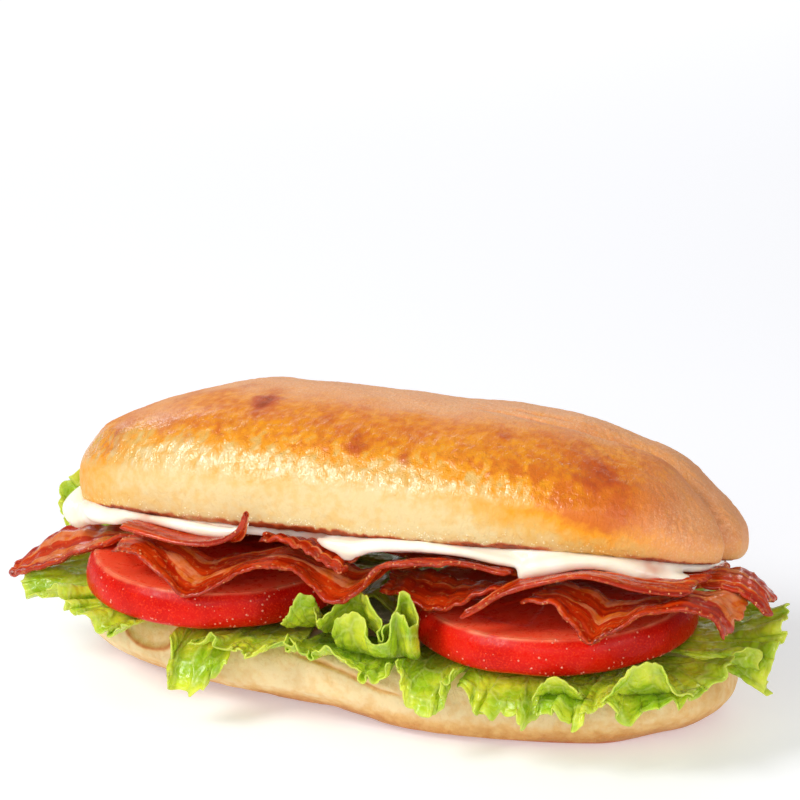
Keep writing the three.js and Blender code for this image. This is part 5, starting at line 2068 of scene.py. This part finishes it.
@dataclass(frozen=True)
class Softbox:
    """A soft rectangular lamp that looks at the sandwich."""

    name: str
    place: Station
    size: tuple[float, float]
    watts: float

    def build(self, target: Vector) -> None:
        """Hangs the lamp and turns it to the target."""
        data = bpy.data.lights.new(self.name, "AREA")
        data.shape = "RECTANGLE"
        data.size, data.size_y = self.size
        data.energy = self.watts
        lamp = new_object(self.name, data)
        lamp.location = Vector(self.place)
        lamp.rotation_euler = (target - lamp.location).to_track_quat("-Z", "Y").to_euler()


@dataclass(frozen=True)
class Studio:
    """A white table top, soft lamps and the camera at the photograph's viewing angle. In metres."""

    target: Station = (0, 0, 0.038)
    azimuth: float = 19
    elevation: float = 22
    distance: float = 1.0
    pixels_per_metre: float = 3700
    frame: float = 800
    target_pixel: tuple[float, float] = (408, 548)
    sensor: float = 36
    clip: tuple[float, float] = (0.05, 20)
    table_half: float = 3
    table_cloud_mm: float = 400
    card: str = "#dbdce1"
    card_shade: str = "#d8d9de"
    card_glow: float = 0.36
    white: str = "#ffffff"
    room_light: float = 0.27
    lamps: tuple[Softbox, ...] = (
        Softbox("key_softbox", (-0.64, -0.68, 0.88), (0.44, 0.44), 10.2),
        Softbox("front_softbox", (0.1, -1.1, 0.6), (0.9, 0.3), 3.6),
        Softbox("back_softbox", (-0.4, 1.1, 0.55), (1.2, 0.5), 4.5),
        Softbox("right_fill", (1.05, -0.5, 0.5), (0.6, 0.6), 4.4),
    )

    def camera(self) -> None:
        """Places the camera so that the target falls on its pixel of the frame."""
        a, e = math.radians(self.azimuth), math.radians(self.elevation)
        back = Vector((math.sin(a) * math.cos(e), -math.cos(a) * math.cos(e), math.sin(e)))
        forward = -back
        right = Vector((math.cos(a), math.sin(a), 0))
        above = right.cross(forward)
        focal = self.pixels_per_metre * self.distance
        middle = self.frame / 2
        pitch = Quaternion(right, math.atan((self.target_pixel[1] - middle) / focal))
        forward, above = pitch @ forward, pitch @ above
        yaw = Quaternion(above, math.atan((self.target_pixel[0] - middle) / focal))
        forward, right = yaw @ forward, yaw @ right
        data = bpy.data.cameras.new("camera")
        data.sensor_width = self.sensor
        data.lens = self.sensor * focal / self.frame
        data.clip_start, data.clip_end = self.clip
        made = new_object("camera", data)
        place = Vector(self.target) + back * self.distance
        turn = Matrix((right, above, -forward)).transposed().to_4x4()
        made.matrix_world = Matrix.Translation(place) @ turn
        bpy.context.scene.camera = made

    def build(self) -> None:
        """Builds the table top, the lamps, the sky and the camera."""
        scene = bpy.context.scene
        scene.view_settings.view_transform = "Standard"
        scene.view_settings.look = "None"
        scene.view_settings.exposure = 0.0
        board = Board("white_card")
        shade = board.work(Op.OVER, board.grain(self.table_cloud_mm, 1), self.card, self.card_shade)
        card = board.dress(
            Base_Color=shade, Roughness=0.9, Emission_Color=self.white, Emission_Strength=self.card_glow
        )
        half = self.table_half / MM
        corners = np.array([(-half, -half, 0), (half, -half, 0), (half, half, 0), (-half, half, 0)])
        top = make_object("table_top", corners, np.array([[0, 1, 2, 3]]), finish=card)
        for lamp in self.lamps:
            lamp.build(Vector(self.target))
        world = bpy.data.worlds.new("white_room")
        world.use_nodes = True
        background = world.node_tree.nodes["Background"]
        background.inputs["Color"].default_value = linear(self.white)
        background.inputs["Strength"].default_value = self.room_light
        scene.world = world
        self.camera()


# ---------------------------- assembly


def place_piece(piece: Object, slot: str, *nodes: str) -> None:
    """Lets a finished piece ride on the sandwich, in place of its solids, and reports it."""
    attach(piece, "root")
    nodes = tuple(filter(None, nodes))
    if nodes:
        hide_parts(*nodes)
    triangles = sum(len(face.vertices) - 2 for face in piece.data.polygons)
    LOG.info("%s: %d triangles", piece.name, triangles)


def main() -> None:
    """Builds the sandwich and its studio."""
    logging.basicConfig(level=logging.INFO, format="%(name)s %(message)s")
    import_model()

    crust = BakedCrust("golden_wheat_crust").material()
    pale_crust = BakedCrust(
        "floury_wheat_crust",
        pale="#f6dba8",
        straw="#ebbb74",
        gold="#d28c3a",
        amber="#b06a28",
        tan="#d09c66",
        roughness=(0.42, 0.7),
    ).material()
    crown = Crown()
    dome = crown.build(crust)
    place_piece(dome, "golden_crust", "bread_crown")
    blistered = BakedCrust("blistered_wheat_crust", pale="#f7e3b8", straw="#f3d493").material()
    place_piece(BLISTERS.strew([dome], blistered), "golden_crust")
    place_piece(Heel().build(pale_crust), "pale_crust", "bread_heel")

    tomato = TomatoFlesh().material()
    slices = []
    for tomato_slice in TOMATO:
        slices.append(tomato_slice.build(tomato))
        place_piece(slices[-1], "tomato_flesh", tomato_slice.node)
    # The dew's pale pink colour is a painted glint.
    water = ClearBead("tomato_water", painted_glint="#ff9c80", clear=0.25).material()
    place_piece(DEW.strew(slices, water), "tomato_flesh")

    bacon = FriedBacon().material()
    strips = []
    for strip in BACON:
        strips.append(strip.build(bacon))
        place_piece(strips[-1], "fried_bacon", strip.node)
    # The grease beads' pale orange colour is a painted glint.
    grease = ClearBead("melted_bacon_fat", painted_glint="#f2a468", clear=0.25).material()
    place_piece(GREASE.strew(strips, grease), "fried_bacon")

    place_piece(Spread(crown).build(Mayonnaise().material()), "mayonnaise_spread", "mayonnaise")

    lettuce = LettuceLeaf().material()
    for leaf in (*LETTUCE, LeafBed()):
        place_piece(leaf.build(lettuce), "lettuce_leaf", leaf.node)

    Studio().build()


if __name__ == "__main__":
    main()
